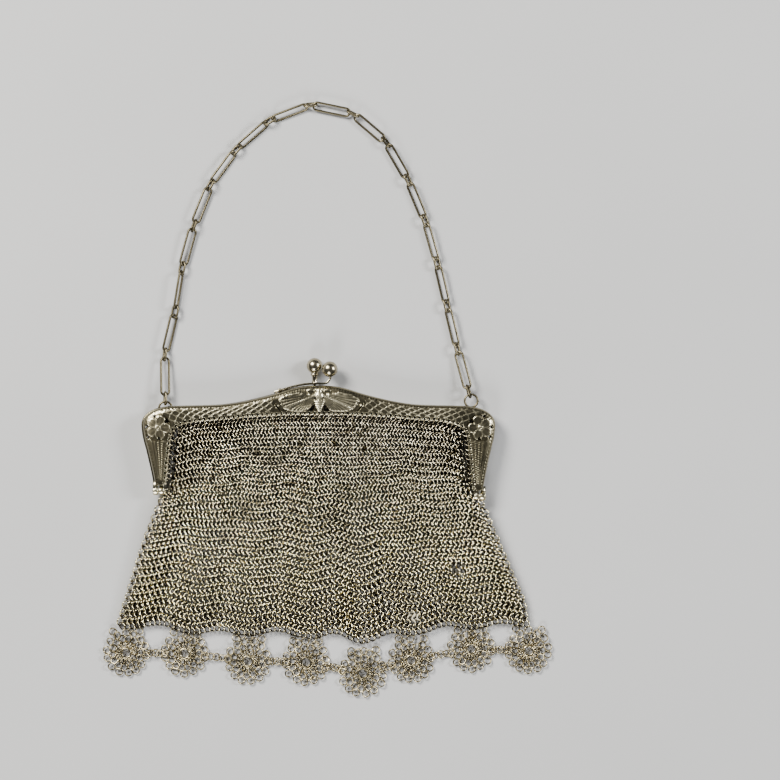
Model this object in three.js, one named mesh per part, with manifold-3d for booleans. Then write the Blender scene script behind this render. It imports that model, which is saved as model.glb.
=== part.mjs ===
// A metal mesh purse lying flat on its back, seen from above: a stamped hinged frame in two halves,
// a kiss clasp of two balls, a carrying chain, a pouch of woven rings and a fringe of ring rosettes.
// Millimetres, +Z up out of the surface that it lies on, +Y towards the carrying chain.
// The drawing's origin is on the frame's centre line, level with the frame's leg ends.
import * as THREE from "three";
import { mergeVertices } from "three/addons/utils/BufferGeometryUtils.js";
import Module from "manifold-3d";

const wasm = await Module();
wasm.setup();

// Driving dimensions
const CLEARANCE = 0.3; // between pieces that aren't soldered together
const SETTLE = 0.05; // under the soft pieces, so that the frame is what rests on the surface
const FRAME_HALF_WIDTH = 70.2; // centre line to the widest point of one frame half
const FRAME_RISE = 41.9; // leg ends to the top of the arch
const FRAME_SHIFT = 0.8; // end play of the hinges: the back half sits this much to the left
const LEFT_LEG_SHORT = 2.2; // the left leg ends this much higher than the right one
const HALF_DEPTH = 4.1; // thickness of one frame half
const SHEET = 0.9; // wall of the stamped frame
const FLANGE = 1.5; // width of the inner flange that the mesh hangs from
const FLANGE_STEP = 0.5; // from the flange's edge to the foot of the raised band
const RIM_DROP = 0.6; // from the band's flat down to the shoulder of its rolled rim
const RELIEF = 0.4; // height of the raised ornament over the frame's face
const RELIEF_SINK = 0.25; // how deep the ornament's edge sits in the face
const KNUCKLE_RADIUS = 1.8;
const KNUCKLE_LENGTH = 2.1;
const LUG_REACH = 1; // how far a knuckle's lug reaches up into its leg
const HINGE_OUT = 0.95; // middle of a leg's end to the joint between its knuckles, outwards
const HINGE_DROP = 2.3; // leg end to the hinge axis
const PIN_RADIUS = 0.7;
const BALL_RADIUS = 3.15;
const POST_RADIUS = 0.9;
const POST_X = -1.9; // the back ball's post, from the centre line
const POST_RISE = 7.6; // the post's foot to the middle of its ball
const COLLAR = 0.7; // how far the post's collar stands out under the ball
const RIVET_X = -15.8; // the spring arm's rivet, from the centre line
const TENON_RADIUS = 0.5;
const TENON_DEPTH = 0.95; // height of both tenons from the parting edge
const HEAD_WIDER = 0.45; // a riveted head's radius over its tenon's
const HEAD_HEIGHT = 0.5;
const ARM_THICKNESS = 0.7;
const ARM_WIDTH = 1.8;
const ARM_BALL = { across: -0.5, up: 2.2, high: 0.6 }; // from the arm's tip to the middle of its ball
const WIRE = 0.86; // chain and bail wire
const SMALL_LINK = { length: 5.9, width: 3.7 };
const LONG_LINK_WIDTH = 4.1;
const LONG_LINKS = 16;
const LINK_PLAY = 0.38; // between the wires of two hooked links
const BAIL_RADIUS = 3; // outer radius of the rings soldered to the frame
const POUCH_WALL = 1;
const POUCH_HEIGHT = 60; // hinge line to the lowest rings
const POUCH_HALF_WIDTH = 85.4; // centre line to the widest side
const POUCH_MOUTH = 6.6; // outer thickness between the frame halves
const POUCH_FOOT = 3.3; // outer thickness at the bottom edge
const POUCH_BULGE = 0.9; // added thickness a quarter of the way down
const RIPPLE = 0.3; // height of the soft folds in the pouch's front
const ROSETTE_THICKNESS = 1.2;
const ROSETTE_SPACE = 2.4; // between the rims of two rosettes, where a ring joins them
const ROSETTE_HOLE = 1.7;
const ROSETTE_GAP = 1.3;
const EYELET_RADIUS = 1.05;
const EYELET_RIM = 0.85;
const RING_WIRE = 0.5; // the pouch's and the fringe's wire
const RING_WIDTH = 3.3; // outer width of a fringe ring
const RING_PLAY = 0.2; // how far a joining ring's wire lies past the middle of an eyelet
const THROUGH = 1; // how far a cut runs past the faces that it goes through

// Frame outline from the middle of the arch to a leg's end, as shares of FRAME_HALF_WIDTH and FRAME_RISE
const FRAME_STATIONS = [
  { outX: 0, outY: 1, inX: 0, inY: 0.716 },
  { outX: 0.085, outY: 0.991, inX: 0.09, inY: 0.716 },
  { outX: 0.16, outY: 0.966, inX: 0.175, inY: 0.714 },
  { outX: 0.24, outY: 0.924, inX: 0.255, inY: 0.709 },
  { outX: 0.33, outY: 0.884, inX: 0.345, inY: 0.7 },
  { outX: 0.43, outY: 0.847, inX: 0.44, inY: 0.688 },
  { outX: 0.54, outY: 0.82, inX: 0.54, inY: 0.673 },
  { outX: 0.66, outY: 0.811, inX: 0.64, inY: 0.66 },
  { outX: 0.77, outY: 0.807, inX: 0.725, inY: 0.645 },
  { outX: 0.86, outY: 0.799, inX: 0.782, inY: 0.618 },
  { outX: 0.93, outY: 0.77, inX: 0.815, inY: 0.58 },
  { outX: 0.978, outY: 0.715, inX: 0.832, inY: 0.53 },
  { outX: 0.999, outY: 0.64, inX: 0.84, inY: 0.47 },
  { outX: 0.993, outY: 0.51, inX: 0.846, inY: 0.385 },
  { outX: 0.973, outY: 0.365, inX: 0.852, inY: 0.29 },
  { outX: 0.953, outY: 0.21, inX: 0.858, inY: 0.185 },
  { outX: 0.939, outY: 0.09, inX: 0.863, inY: 0.08 },
  { outX: 0.93, outY: 0, inX: 0.868, inY: 0 },
];

// Turns of the raised band between its foot and its outer edge, as shares of its width
const BAND = { crest: 0.15, flat: 0.6, shoulder: 0.86 };

// Middle and radius of each corner flower, as shares of FRAME_HALF_WIDTH and FRAME_RISE
const FLOWER = { across: 0.9145, up: 0.5967, radius: 0.0641 };

// Gaps pierced round a flower: angle from its middle, reach and size as shares of its radius
const FLOWER_GAPS = [
  { angle: 4, reach: 1, size: 0.178 },
  { angle: 73, reach: 1.07, size: 0.167 },
  { angle: 143, reach: 0.98, size: 0.256 },
  { angle: 264, reach: 0.98, size: 0.189 },
  { angle: 315, reach: 1.18, size: 0.178 },
];

// A flower's raised boss and petals, as shares of its radius
const FLOWER_BOSS = 0.29;
const PETALS = { count: 5, first: 38, reach: 0.55, long: 0.39, wide: 0.267 };

// Gaps pierced round the moth at the middle of the arch and the raised forms of its wings, both
// mirrored to both sides, and of its body: places as shares of the frame's sizes, half sizes in mm
const MOTH_GAPS = [
  { across: 0.0413, up: 0.7876, long: 1.3, wide: 1.1, turn: 40 },
  { across: 0.245, up: 0.79, long: 1.9, wide: 0.5, turn: -52 },
];
const MOTH_WINGS = [
  { across: 0.1083, up: 0.883, long: 7.6, wide: 2.3, turn: 5 },
  { across: 0.1068, up: 0.8162, long: 4.6, wide: 1.5, turn: -20 },
];
const MOTH_BODY = [
  { up: 0.9021, long: 2.1, wide: 1.7, rise: 0.45, bands: 2 },
  { up: 0.8019, long: 3.2, wide: 2, rise: 0.5, bands: 4 },
];

// Bails: place across as a share of FRAME_HALF_WIDTH, and middle over the arch's edge there in mm
const BAILS = [
  { across: -0.8632, lift: -0.6 },
  { across: 0.8746, lift: 2.5 },
];

// The spring arm: places across where it lies on the arch, then its rise off the top of the arch
const ARM_SEATS = [-18, -14.5, -10.5, -6, -1.5];
const ARM_RISE = [
  { across: 2.4, up: 0 },
  { across: 4, up: 1.3 },
  { across: 4.7, up: 3.4 },
];

// Pouch sides below the hinges: drop as a share of POUCH_HEIGHT, sides as shares of POUCH_HALF_WIDTH
const POUCH_SIDES = [
  { drop: -0.03, left: 0.7, right: 0.7 },
  { drop: 0.05, left: 0.75, right: 0.745 },
  { drop: 0.085, left: 0.763, right: 0.775 },
  { drop: 0.17, left: 0.786, right: 0.8 },
  { drop: 0.3, left: 0.823, right: 0.836 },
  { drop: 0.45, left: 0.859, right: 0.883 },
  { drop: 0.6, left: 0.89, right: 0.926 },
  { drop: 0.75, left: 0.923, right: 0.973 },
  { drop: 0.88, left: 0.955, right: 0.986 },
  { drop: 1.05, left: 0.95, right: 1 },
];

// Pouch bottom edge: place across as a share of POUCH_HALF_WIDTH, drop as a share of POUCH_HEIGHT
const POUCH_EDGE = [
  { across: -1, drop: 0.925 },
  { across: -0.72, drop: 0.935 },
  { across: -0.58, drop: 0.972 },
  { across: -0.2, drop: 0.975 },
  { across: 0, drop: 1 },
  { across: 0.08, drop: 0.985 },
  { across: 0.16, drop: 1.025 },
  { across: 0.25, drop: 1.02 },
  { across: 0.35, drop: 0.98 },
  { across: 0.5, drop: 0.965 },
  { across: 0.6, drop: 0.935 },
  { across: 1, drop: 0.915 },
];

// Fringe rosettes: place across, middle under the pouch's bottom edge and radius as shares of
// POUCH_HALF_WIDTH, and turn in the plane
const FRINGE = [
  { across: -0.904, under: 0.1088, radius: 0.1019, turn: 5 },
  { across: -0.63, under: 0.0898, radius: 0.103, turn: 0 },
  { across: -0.3349, under: 0.1146, radius: 0.103, turn: 9 },
  { across: -0.0621, under: 0.1074, radius: 0.1042, turn: -4 },
  { across: 0.2026, under: 0.1387, radius: 0.1054, turn: 8 },
  { across: 0.4297, under: 0.1122, radius: 0.1007, turn: -8 },
  { across: 0.7096, under: 0.0894, radius: 0.103, turn: 3 },
  { across: 0.9778, under: 0.1081, radius: 0.1019, turn: 0 },
];

// Chain route between the two bails: chosen points that its small links lie near, from the centre line
// and over the top of the arch
const CHAIN_ROUTE = [
  [-61.9, 11.1],
  [-57.9, 28.3],
  [-55.2, 45.3],
  [-50.7, 62.1],
  [-44.6, 78.3],
  [-34.2, 93.1],
  [-20.4, 105.5],
  [-2.4, 112.1],
  [16, 107.1],
  [28.8, 94.3],
  [36.9, 78.7],
  [43.4, 62.3],
  [48, 44.8],
  [52, 27.3],
  [56.3, 9.7],
];

// Roll of each long link about its own length, in degrees: 0 lies flat and 90 stands on edge
const LONG_LINK_ROLLS = [5, 38, 68, 20, 25, 42, 45, 40, 14, 22, 30, 36, 45, 40, 42, 20];

const SILVER = { color: 0x98927a, roughness: 0.38, metalness: 1 };
const MESH_SILVER = { color: 0x8d8668, roughness: 0.45, metalness: 1 };
const BRIGHT = { color: 0xb7b2a2, roughness: 0.25, metalness: 1 };

const rad = THREE.MathUtils.degToRad;
const lerp = THREE.MathUtils.lerp;
const BACK_TOP = HALF_DEPTH; // height of the back half's parting edge
const FRONT_BASE = HALF_DEPTH + CLEARANCE; // height of the front half's parting edge
const PARTING = HALF_DEPTH + CLEARANCE / 2;
const FLANGE_TOP = 0.62 * HALF_DEPTH; // height of the flange's face over the parting edge
const LEG_END = FRAME_STATIONS[FRAME_STATIONS.length - 1];
const HINGE_ACROSS = ((LEG_END.outX + LEG_END.inX) / 2) * FRAME_HALF_WIDTH + HINGE_OUT;
const FLOWER_ACROSS = FLOWER.across * FRAME_HALF_WIDTH;
const FLOWER_UP = FLOWER.up * FRAME_RISE;
const FLOWER_RADIUS = FLOWER.radius * FRAME_HALF_WIDTH;

// Solids

function solidOf(geometry) {
  const bare = geometry.index ? geometry.toNonIndexed() : geometry.clone();
  bare.deleteAttribute("normal");
  bare.deleteAttribute("uv");
  const merged = mergeVertices(bare, 1e-4);
  const triVerts = new Uint32Array(merged.index.array);
  const vertProperties = new Float32Array(merged.attributes.position.array);
  return new wasm.Manifold(new wasm.Mesh({ numProp: 3, vertProperties, triVerts }));
}

function geometryOf(solid) {
  const mesh = solid.getMesh();
  const place = new Float32Array(mesh.numVert * 3);
  for (let i = 0; i < mesh.numVert; i++) {
    place.set(mesh.vertProperties.subarray(i * mesh.numProp, i * mesh.numProp + 3), i * 3);
  }
  const geometry = new THREE.BufferGeometry();
  geometry.setAttribute("position", new THREE.BufferAttribute(place, 3));
  geometry.setIndex(new THREE.BufferAttribute(mesh.triVerts, 1));
  return geometry;
}

// Solid from a closed list of triangles, turned to face outwards whichever way they were listed.
function closedSolid(place, faces) {
  const geometry = new THREE.BufferGeometry();
  geometry.setAttribute("position", new THREE.Float32BufferAttribute(place, 3));
  geometry.setIndex(faces);
  const solid = solidOf(geometry);
  return solid.volume() > 0 ? solid : solidOf(geometry.setIndex(faces.reverse()));
}

function join(solids) {
  return solids.reduce((whole, next) => whole.add(next));
}

// Closed solid from rings of points, each ring joined to the next one; caps close its two ends.
function loft(rings, closedPath = false) {
  const sides = rings[0].length;
  const place = rings.flat().flatMap((p) => [p.x, p.y, p.z]);
  const faces = [];
  const last = closedPath ? rings.length : rings.length - 1;
  for (let i = 0; i < last; i++) {
    const next = (i + 1) % rings.length;
    for (let j = 0; j < sides; j++) {
      const k = (j + 1) % sides;
      const [a, b] = [i * sides + j, i * sides + k];
      const [c, d] = [next * sides + j, next * sides + k];
      faces.push(a, b, c, b, d, c);
    }
  }
  if (!closedPath) {
    const cap = flatFaces(rings[0]);
    const end = (rings.length - 1) * sides;
    cap.forEach(([a, b, c]) => faces.push(c, b, a, end + a, end + b, end + c));
  }
  return closedSolid(place, faces);
}

// Triangles of a ring's own upright polygon, each turned the way that the ring runs.
function flatFaces(ring) {
  const level = ring.map((p) => new THREE.Vector2(p.x - ring[0].x, p.y - ring[0].y));
  const farthest = level.reduce((a, b) => (b.length() > a.length() ? b : a)).clone().normalize();
  const flat = ring.map((p, i) => new THREE.Vector2(level[i].dot(farthest), p.z));
  const order = Math.sign(THREE.ShapeUtils.area(flat));
  return THREE.ShapeUtils.triangulateShape(flat, []).map(([a, b, c]) => {
    const turn = Math.sign(THREE.ShapeUtils.area([flat[a], flat[b], flat[c]]));
    return turn === order ? [a, b, c] : [a, c, b];
  });
}

function prism(points, low, high) {
  const shape = new THREE.Shape(points.map(([x, y]) => new THREE.Vector2(x, y)));
  const geometry = new THREE.ExtrudeGeometry(shape, { depth: high - low, bevelEnabled: false });
  return solidOf(geometry.translate(0, 0, low));
}

function rod(radius, length, sides) {
  return new THREE.CylinderGeometry(radius, radius, length, sides);
}

function ellipsoid(size, place, turn, around, down) {
  const geometry = new THREE.SphereGeometry(1, around, down).rotateX(Math.PI / 2);
  geometry.scale(size[0], size[1], size[2]).rotateZ(rad(turn)).translate(...place);
  return solidOf(geometry);
}

// A wire bent into a closed loop of two straights and two round ends, in the frame given by its
// middle, its length axis and its width axis.
function wireLoop({ middle, along, across, length, width, wire, endSteps, sides }) {
  const normal = new THREE.Vector3().crossVectors(along, across);
  const bend = (width - wire) / 2;
  const straight = length / 2 - wire / 2 - bend;
  const rings = [];
  for (const end of [1, -1]) {
    for (let i = 0; i <= endSteps; i++) {
      const angle = (i / endSteps - 0.5) * Math.PI;
      const out = new THREE.Vector3()
        .addScaledVector(along, Math.cos(angle) * end)
        .addScaledVector(across, Math.sin(angle) * end);
      const centre = middle.clone().addScaledVector(along, straight * end).addScaledVector(out, bend);
      rings.push(
        Array.from({ length: sides }, (_, j) => {
          const turn = (j / sides) * 2 * Math.PI;
          return centre
            .clone()
            .addScaledVector(out, (Math.cos(turn) * wire) / 2)
            .addScaledVector(normal, (Math.sin(turn) * wire) / 2);
        }),
      );
    }
  }
  return loft(rings, true);
}

// Value read from a table with named columns, by straight lines between its rows.
function readTable(rows, key, column, value) {
  const next = rows.findIndex((row) => row[key] >= value);
  if (next === 0) return rows[0][column];
  if (next < 0) return rows[rows.length - 1][column];
  const [a, b] = [rows[next - 1], rows[next]];
  return lerp(a[column], b[column], (value - a[key]) / (b[key] - a[key]));
}

// Frame halves

// The frame's stations from its left leg over the arch to its right leg, in mm.
function frameStations() {
  const legTop = FLOWER_UP;
  const side = (row, sign) => {
    const shorten = sign < 0 ? 1 - LEFT_LEG_SHORT / legTop : 1;
    const level = (y) => (y < legTop ? legTop - (legTop - y) * shorten : y);
    return {
      out: new THREE.Vector2(sign * row.outX * FRAME_HALF_WIDTH, level(row.outY * FRAME_RISE)),
      in: new THREE.Vector2(sign * row.inX * FRAME_HALF_WIDTH, level(row.inY * FRAME_RISE)),
    };
  };
  const left = FRAME_STATIONS.slice(1).reverse().map((row) => side(row, -1));
  return [...left, ...FRAME_STATIONS.map((row) => side(row, 1))];
}

// Outside of the stamping across its width: a thin inner flange, a flat band and a rolled rim.
function bandProfile(width) {
  const foot = FLANGE + FLANGE_STEP;
  const band = width - foot;
  return [
    [0, FLANGE_TOP],
    [FLANGE, FLANGE_TOP],
    [foot + BAND.crest * band, HALF_DEPTH],
    [foot + BAND.flat * band, HALF_DEPTH],
    [foot + BAND.shoulder * band, HALF_DEPTH - RIM_DROP],
    [width, HALF_DEPTH / 2],
  ];
}

// Inside of the stamping, a sheet's thickness under its outside.
function hollowProfile(width) {
  const foot = FLANGE + FLANGE_STEP;
  const band = width - foot;
  const roof = HALF_DEPTH - SHEET;
  return [
    [-THROUGH, FLANGE_TOP - SHEET],
    [FLANGE, FLANGE_TOP - SHEET],
    [foot + BAND.crest * band, roof],
    [foot + BAND.flat * band, roof],
    [width - SHEET, HALF_DEPTH / 2],
    [width - SHEET, -THROUGH],
    [-THROUGH, -THROUGH],
  ];
}

// One section of the frame at a station: points across the width, at heights from the parting plane.
function sectionAt(station, points) {
  const across = station.out.clone().sub(station.in).normalize();
  return points.map(([s, h]) => {
    const p = station.in.clone().addScaledVector(across, s);
    return new THREE.Vector3(p.x, p.y, h);
  });
}

function channel(stations) {
  const widthOf = (station) => station.out.distanceTo(station.in);
  const body = stations.map((station) => {
    const width = widthOf(station);
    return sectionAt(station, [...bandProfile(width), [width, 0], [0, 0]]);
  });
  const hollow = stations.slice(1, -1).map((s) => sectionAt(s, hollowProfile(widthOf(s))));
  return loft(body).subtract(loft(hollow));
}

// The two knuckles of a frame half, each on a lug that reaches up into its leg.
function knuckles(outerSide, shift) {
  const length = KNUCKLE_LENGTH;
  return [-1, 1].map((sign) => {
    const isOuter = sign === outerSide;
    const outwards = (isOuter ? 1 : -1) * (length + CLEARANCE);
    const middle = sign * (HINGE_ACROSS + outwards / 2) + shift;
    const legEnd = sign < 0 ? LEFT_LEG_SHORT : 0;
    const axis = legEnd - HINGE_DROP;
    const onAxis = (radius, long) =>
      solidOf(rod(radius, long, 10).rotateZ(Math.PI / 2).translate(middle, axis, -CLEARANCE / 2));
    const barrel = onAxis(KNUCKLE_RADIUS, length);
    const bore = onAxis(PIN_RADIUS + CLEARANCE, length + THROUGH);
    const top = legEnd + LUG_REACH;
    const half = length / 2;
    const lug = prism(
      [
        [middle - half, axis],
        [middle + half, axis],
        [middle + half, top],
        [middle - half, top],
      ],
      0,
      KNUCKLE_RADIUS - CLEARANCE,
    );
    return barrel.add(lug).subtract(bore);
  });
}

// Prisms through a frame half for the gaps between petals and round the moth.
function piercings() {
  const upright = () => rod(1, HALF_DEPTH + 2 * THROUGH, 6).rotateX(Math.PI / 2);
  const cuts = [];
  for (const sign of [-1, 1]) {
    for (const { angle, reach, size } of FLOWER_GAPS) {
      const cut = upright().scale(size * FLOWER_RADIUS, size * FLOWER_RADIUS, 1);
      const x = sign * (FLOWER_ACROSS + Math.cos(rad(angle)) * reach * FLOWER_RADIUS);
      const y = FLOWER_UP + Math.sin(rad(angle)) * reach * FLOWER_RADIUS;
      cuts.push(solidOf(cut.translate(x, y, HALF_DEPTH / 2)));
    }
    for (const { across, up, long, wide, turn } of MOTH_GAPS) {
      const cut = upright().scale(long, wide, 1).rotateZ(rad(sign * turn));
      const x = sign * across * FRAME_HALF_WIDTH;
      cuts.push(solidOf(cut.translate(x, up * FRAME_RISE, HALF_DEPTH / 2)));
    }
  }
  return join(cuts);
}

// Raised ornament of the front half: a flower in each corner and a moth at the middle of the arch.
function ornament() {
  const face = HALF_DEPTH - RELIEF_SINK;
  const height = RELIEF + RELIEF_SINK;
  const raised = [];
  for (const sign of [-1, 1]) {
    const boss = FLOWER_BOSS * FLOWER_RADIUS;
    raised.push(ellipsoid([boss, boss, height + 0.1], [sign * FLOWER_ACROSS, FLOWER_UP, face], 0, 6, 2));
    for (let i = 0; i < PETALS.count; i++) {
      const angle = PETALS.first + (i * 360) / PETALS.count;
      const reach = PETALS.reach * FLOWER_RADIUS;
      const x = sign * (FLOWER_ACROSS + Math.cos(rad(angle)) * reach);
      const y = FLOWER_UP + Math.sin(rad(angle)) * reach;
      const size = [PETALS.long * FLOWER_RADIUS, PETALS.wide * FLOWER_RADIUS, height];
      raised.push(ellipsoid(size, [x, y, face], sign * angle, 6, 2));
    }
    for (const { across, up, long, wide, turn } of MOTH_WINGS) {
      const place = [sign * across * FRAME_HALF_WIDTH, up * FRAME_RISE, face];
      raised.push(ellipsoid([long, wide, height], place, sign * turn, 8, 2));
    }
  }
  for (const { up, long, wide, rise, bands } of MOTH_BODY) {
    raised.push(ellipsoid([wide, long, RELIEF + rise], [0, up * FRAME_RISE, face], 0, 8, bands));
  }
  return join(raised);
}

// Height of the arch's outer edge at a place across.
function archTop(x) {
  return readTable(FRAME_STATIONS, "outX", "outY", Math.abs(x) / FRAME_HALF_WIDTH) * FRAME_RISE;
}

// Middles of the round bails soldered across the back half's rim, level with its parting edge.
function bailMiddles() {
  return BAILS.map(({ across, lift }) => {
    const x = across * FRAME_HALF_WIDTH;
    return new THREE.Vector3(x, archTop(x) + lift, 0);
  });
}

function bailRings() {
  return bailMiddles().map((middle) =>
    wireLoop({
      middle,
      along: new THREE.Vector3(1, 0, 0),
      across: new THREE.Vector3(0, 1, 0),
      length: 2 * BAIL_RADIUS,
      width: 2 * BAIL_RADIUS,
      wire: WIRE,
      endSteps: 5,
      sides: 6,
    }),
  );
}

// The hole for a tenon through the rim.
function tenonHole(x) {
  const hole = rod(TENON_RADIUS + CLEARANCE, 2 * (SHEET + HEAD_HEIGHT + THROUGH), 8);
  return solidOf(hole.translate(x, archTop(x), TENON_DEPTH));
}

function frontFrame(stations) {
  return join([channel(stations), ...knuckles(-1, 0)])
    .add(ornament())
    .subtract(piercings())
    .subtract(tenonHole(RIVET_X));
}

function backFrame(stations) {
  const post = tenonHole(POST_X + FRAME_SHIFT);
  const pierced = join([channel(stations), ...knuckles(1, FRAME_SHIFT)]).subtract(piercings());
  const rings = bailRings().map((ring) => ring.translate(0, 0, WIRE / 2 + 0.02));
  return pierced.subtract(post).add(join(rings));
}

// Clasp

// A tenon's lower end, riveted over inside the rim at x, as a lathe profile.
function tenonProfile(x) {
  const head = archTop(x) - SHEET - 2 * CLEARANCE;
  return [
    [0, head - HEAD_HEIGHT],
    [TENON_RADIUS + HEAD_WIDER, head - HEAD_HEIGHT],
    [TENON_RADIUS + HEAD_WIDER, head],
    [TENON_RADIUS, head],
  ];
}

// A post riveted through the back half's rim, with a collar and a ball on top.
function claspPost() {
  const seat = archTop(POST_X) + CLEARANCE;
  const ballAt = seat + POST_RISE;
  const neck = ballAt - BALL_RADIUS;
  const profile = [
    ...tenonProfile(POST_X),
    [TENON_RADIUS, seat],
    [POST_RADIUS + COLLAR / 3, seat],
    [POST_RADIUS, seat + COLLAR],
    [POST_RADIUS, neck - COLLAR],
    [POST_RADIUS + COLLAR, neck - COLLAR / 2],
    [POST_RADIUS + COLLAR, neck + CLEARANCE / 2],
  ];
  const start = Math.asin((POST_RADIUS + COLLAR / 2) / BALL_RADIUS);
  for (let i = 0; i <= 6; i++) {
    const angle = lerp(start, Math.PI, i / 6);
    profile.push([Math.sin(angle) * BALL_RADIUS, ballAt - Math.cos(angle) * BALL_RADIUS]);
  }
  profile[profile.length - 1][0] = 0;
  return latheOf(profile, 10);
}

function latheOf(profile, sides) {
  const points = profile.map(([r, y]) => new THREE.Vector2(r, y));
  return solidOf(new THREE.LatheGeometry(points, sides));
}

// The spring arm's route along the arch, bent up at its free end to carry the front ball.
function armRoute() {
  const lift = CLEARANCE + ARM_THICKNESS / 2;
  const seated = ARM_SEATS.map((x) => new THREE.Vector2(x, archTop(x) + lift));
  const risen = ARM_RISE.map(({ across, up }) => new THREE.Vector2(across, FRAME_RISE + lift + up));
  return [...seated, ...risen];
}

function claspArm() {
  const run = armRoute();
  const edge = (side) =>
    run.map((p, i) => {
      const way = run[Math.min(i + 1, run.length - 1)].clone().sub(run[Math.max(i - 1, 0)]).normalize();
      return [p.x - way.y * side, p.y + way.x * side];
    });
  const half = ARM_THICKNESS / 2;
  const strip = prism([...edge(-half), ...edge(half).reverse()], 0, ARM_WIDTH);
  const tip = run[run.length - 1];
  const ball = new THREE.SphereGeometry(BALL_RADIUS, 12, 7);
  ball.translate(tip.x + ARM_BALL.across, tip.y + ARM_BALL.up, ARM_WIDTH / 2 + ARM_BALL.high);
  const top = archTop(RIVET_X) + CLEARANCE + ARM_THICKNESS;
  const rivet = latheOf([...tenonProfile(RIVET_X), [TENON_RADIUS, top], [0, top]], 8);
  return join([strip, solidOf(ball), rivet.translate(RIVET_X, 0, ARM_WIDTH / 2)]);
}

// Carrying chain

const CROSSING = WIRE + LINK_PLAY; // between the wire centres of two hooked links
const SMALL_REACH = (SMALL_LINK.length - WIRE) / 2; // a small link's middle to its end wire
const BAIL_HEIGHT = BACK_TOP - WIRE / 2;
const END_ROLL = -72; // roll of the two small links on the bails, in degrees

// Middles of the bails where they lie, on the shifted back half.
function laidBails() {
  return bailMiddles().map(({ x, y }) => new THREE.Vector3(x - FRAME_SHIFT, y, BAIL_HEIGHT));
}

function naturalHeight(width, roll) {
  return SETTLE + WIRE / 2 + ((width - WIRE) / 2) * Math.abs(Math.sin(rad(roll)));
}

// Places of the small links, spaced evenly along the route, with a height for each.
function smallLinks() {
  const points = CHAIN_ROUTE.map(([x, over]) => new THREE.Vector3(x, FRAME_RISE + over, 0));
  const [left, right] = laidBails();
  const hook = (bail, next) => {
    const way = next.clone().sub(bail).setZ(0).normalize();
    const reach = BAIL_RADIUS - WIRE / 2 + SMALL_REACH - CROSSING;
    return bail.clone().addScaledVector(way, reach).setZ(0);
  };
  const ends = [hook(left, points[0]), hook(right, points[points.length - 1])];
  const route = new THREE.CatmullRomCurve3([ends[0], ...points, ends[1]], false, "centripetal");
  const spots = route.getSpacedPoints(LONG_LINKS);
  return spots.map((spot, i) => {
    const before = LONG_LINK_ROLLS[Math.max(i - 1, 0)];
    const after = LONG_LINK_ROLLS[Math.min(i, LONG_LINKS - 1)];
    const isEnd = i === 0 || i === LONG_LINKS;
    const roll = isEnd ? END_ROLL : (before + after) / 2 - 90;
    const neighbours = Math.max(
      naturalHeight(LONG_LINK_WIDTH, before),
      naturalHeight(LONG_LINK_WIDTH, after),
    );
    const laid = Math.max(naturalHeight(SMALL_LINK.width, roll), neighbours - LINK_PLAY);
    spot.z = isEnd ? BAIL_HEIGHT : laid;
    return { middle: spot, roll };
  });
}

function chainLink(middle, along, roll, length, width) {
  const side = new THREE.Vector3(-along.y, along.x, 0).normalize();
  const up = new THREE.Vector3().crossVectors(along, side);
  const across = side.multiplyScalar(Math.cos(rad(roll))).addScaledVector(up, Math.sin(rad(roll)));
  return wireLoop({ middle, along, across, length, width, wire: WIRE, endSteps: 4, sides: 5 });
}

function chain() {
  const small = smallLinks();
  const [left, right] = laidBails();
  const links = [];
  small.forEach(({ middle, roll }, i) => {
    const before = i ? small[i - 1].middle : left;
    const after = i < LONG_LINKS ? small[i + 1].middle : right;
    const along = after.clone().sub(before).normalize();
    const joint = chainLink(middle, along, roll, SMALL_LINK.length, SMALL_LINK.width);
    links.push({ name: "chain_small_link_" + (i + 1), solid: joint });
    if (i === LONG_LINKS) return;
    const run = after.clone().sub(middle);
    const pitch = run.length();
    const centre = middle.clone().addScaledVector(run, 0.5);
    const lift = naturalHeight(LONG_LINK_WIDTH, LONG_LINK_ROLLS[i]) - centre.z;
    centre.z += Math.max(lift, 0);
    const length = pitch - 2 * SMALL_REACH + 2 * CROSSING + WIRE;
    const solid = chainLink(centre, run.normalize(), LONG_LINK_ROLLS[i], length, LONG_LINK_WIDTH);
    links.push({ name: "chain_long_link_" + (i + 1), solid });
  });
  return links;
}

// Pouch

// Rows of the pouch's skin, as shares of the way down each column, closest round the hinges
const SKIN = { columns: 15, rows: [0, 0.07, 0.16, 0.25, 0.31, 0.37, 0.48, 0.6, 0.73, 0.86, 1] };
const HOLLOW = { columns: 12, rows: [0, 0.1, 0.25, 0.31, 0.42, 0.6, 0.8, 1] };
const CORNER_SHARE = 0.6; // height of the frame's inner corners as a share of FRAME_RISE
const EDGE_SHARE = 0.96; // the bottom edge's own half width as a share of POUCH_HALF_WIDTH
const LAID_FROM = 0.14; // share of the way down where the pouch comes to lie on the surface
const PINCH = 0.4; // how much thinner the pouch is at its sides

// Inner edge of the frame at a place across: the pouch's top edge hangs just inside it.
function mouthTop(x) {
  const share = Math.abs(x) / FRAME_HALF_WIDTH;
  return readTable(FRAME_STATIONS, "inX", "inY", share) * FRAME_RISE;
}

// Inner edge of the nearer leg at a height, less the clearance and the other half's shift.
function legInside(y, sign) {
  const level = Math.min(y / FRAME_RISE, CORNER_SHARE);
  const edge = readTable([...FRAME_STATIONS].reverse(), "inY", "inX", level) * FRAME_HALF_WIDTH;
  return edge - 3 * CLEARANCE - (sign > 0 ? FRAME_SHIFT : 0);
}

function pouchBottom(x) {
  return -POUCH_HEIGHT * readTable(POUCH_EDGE, "across", "drop", x / POUCH_HALF_WIDTH);
}

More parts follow.
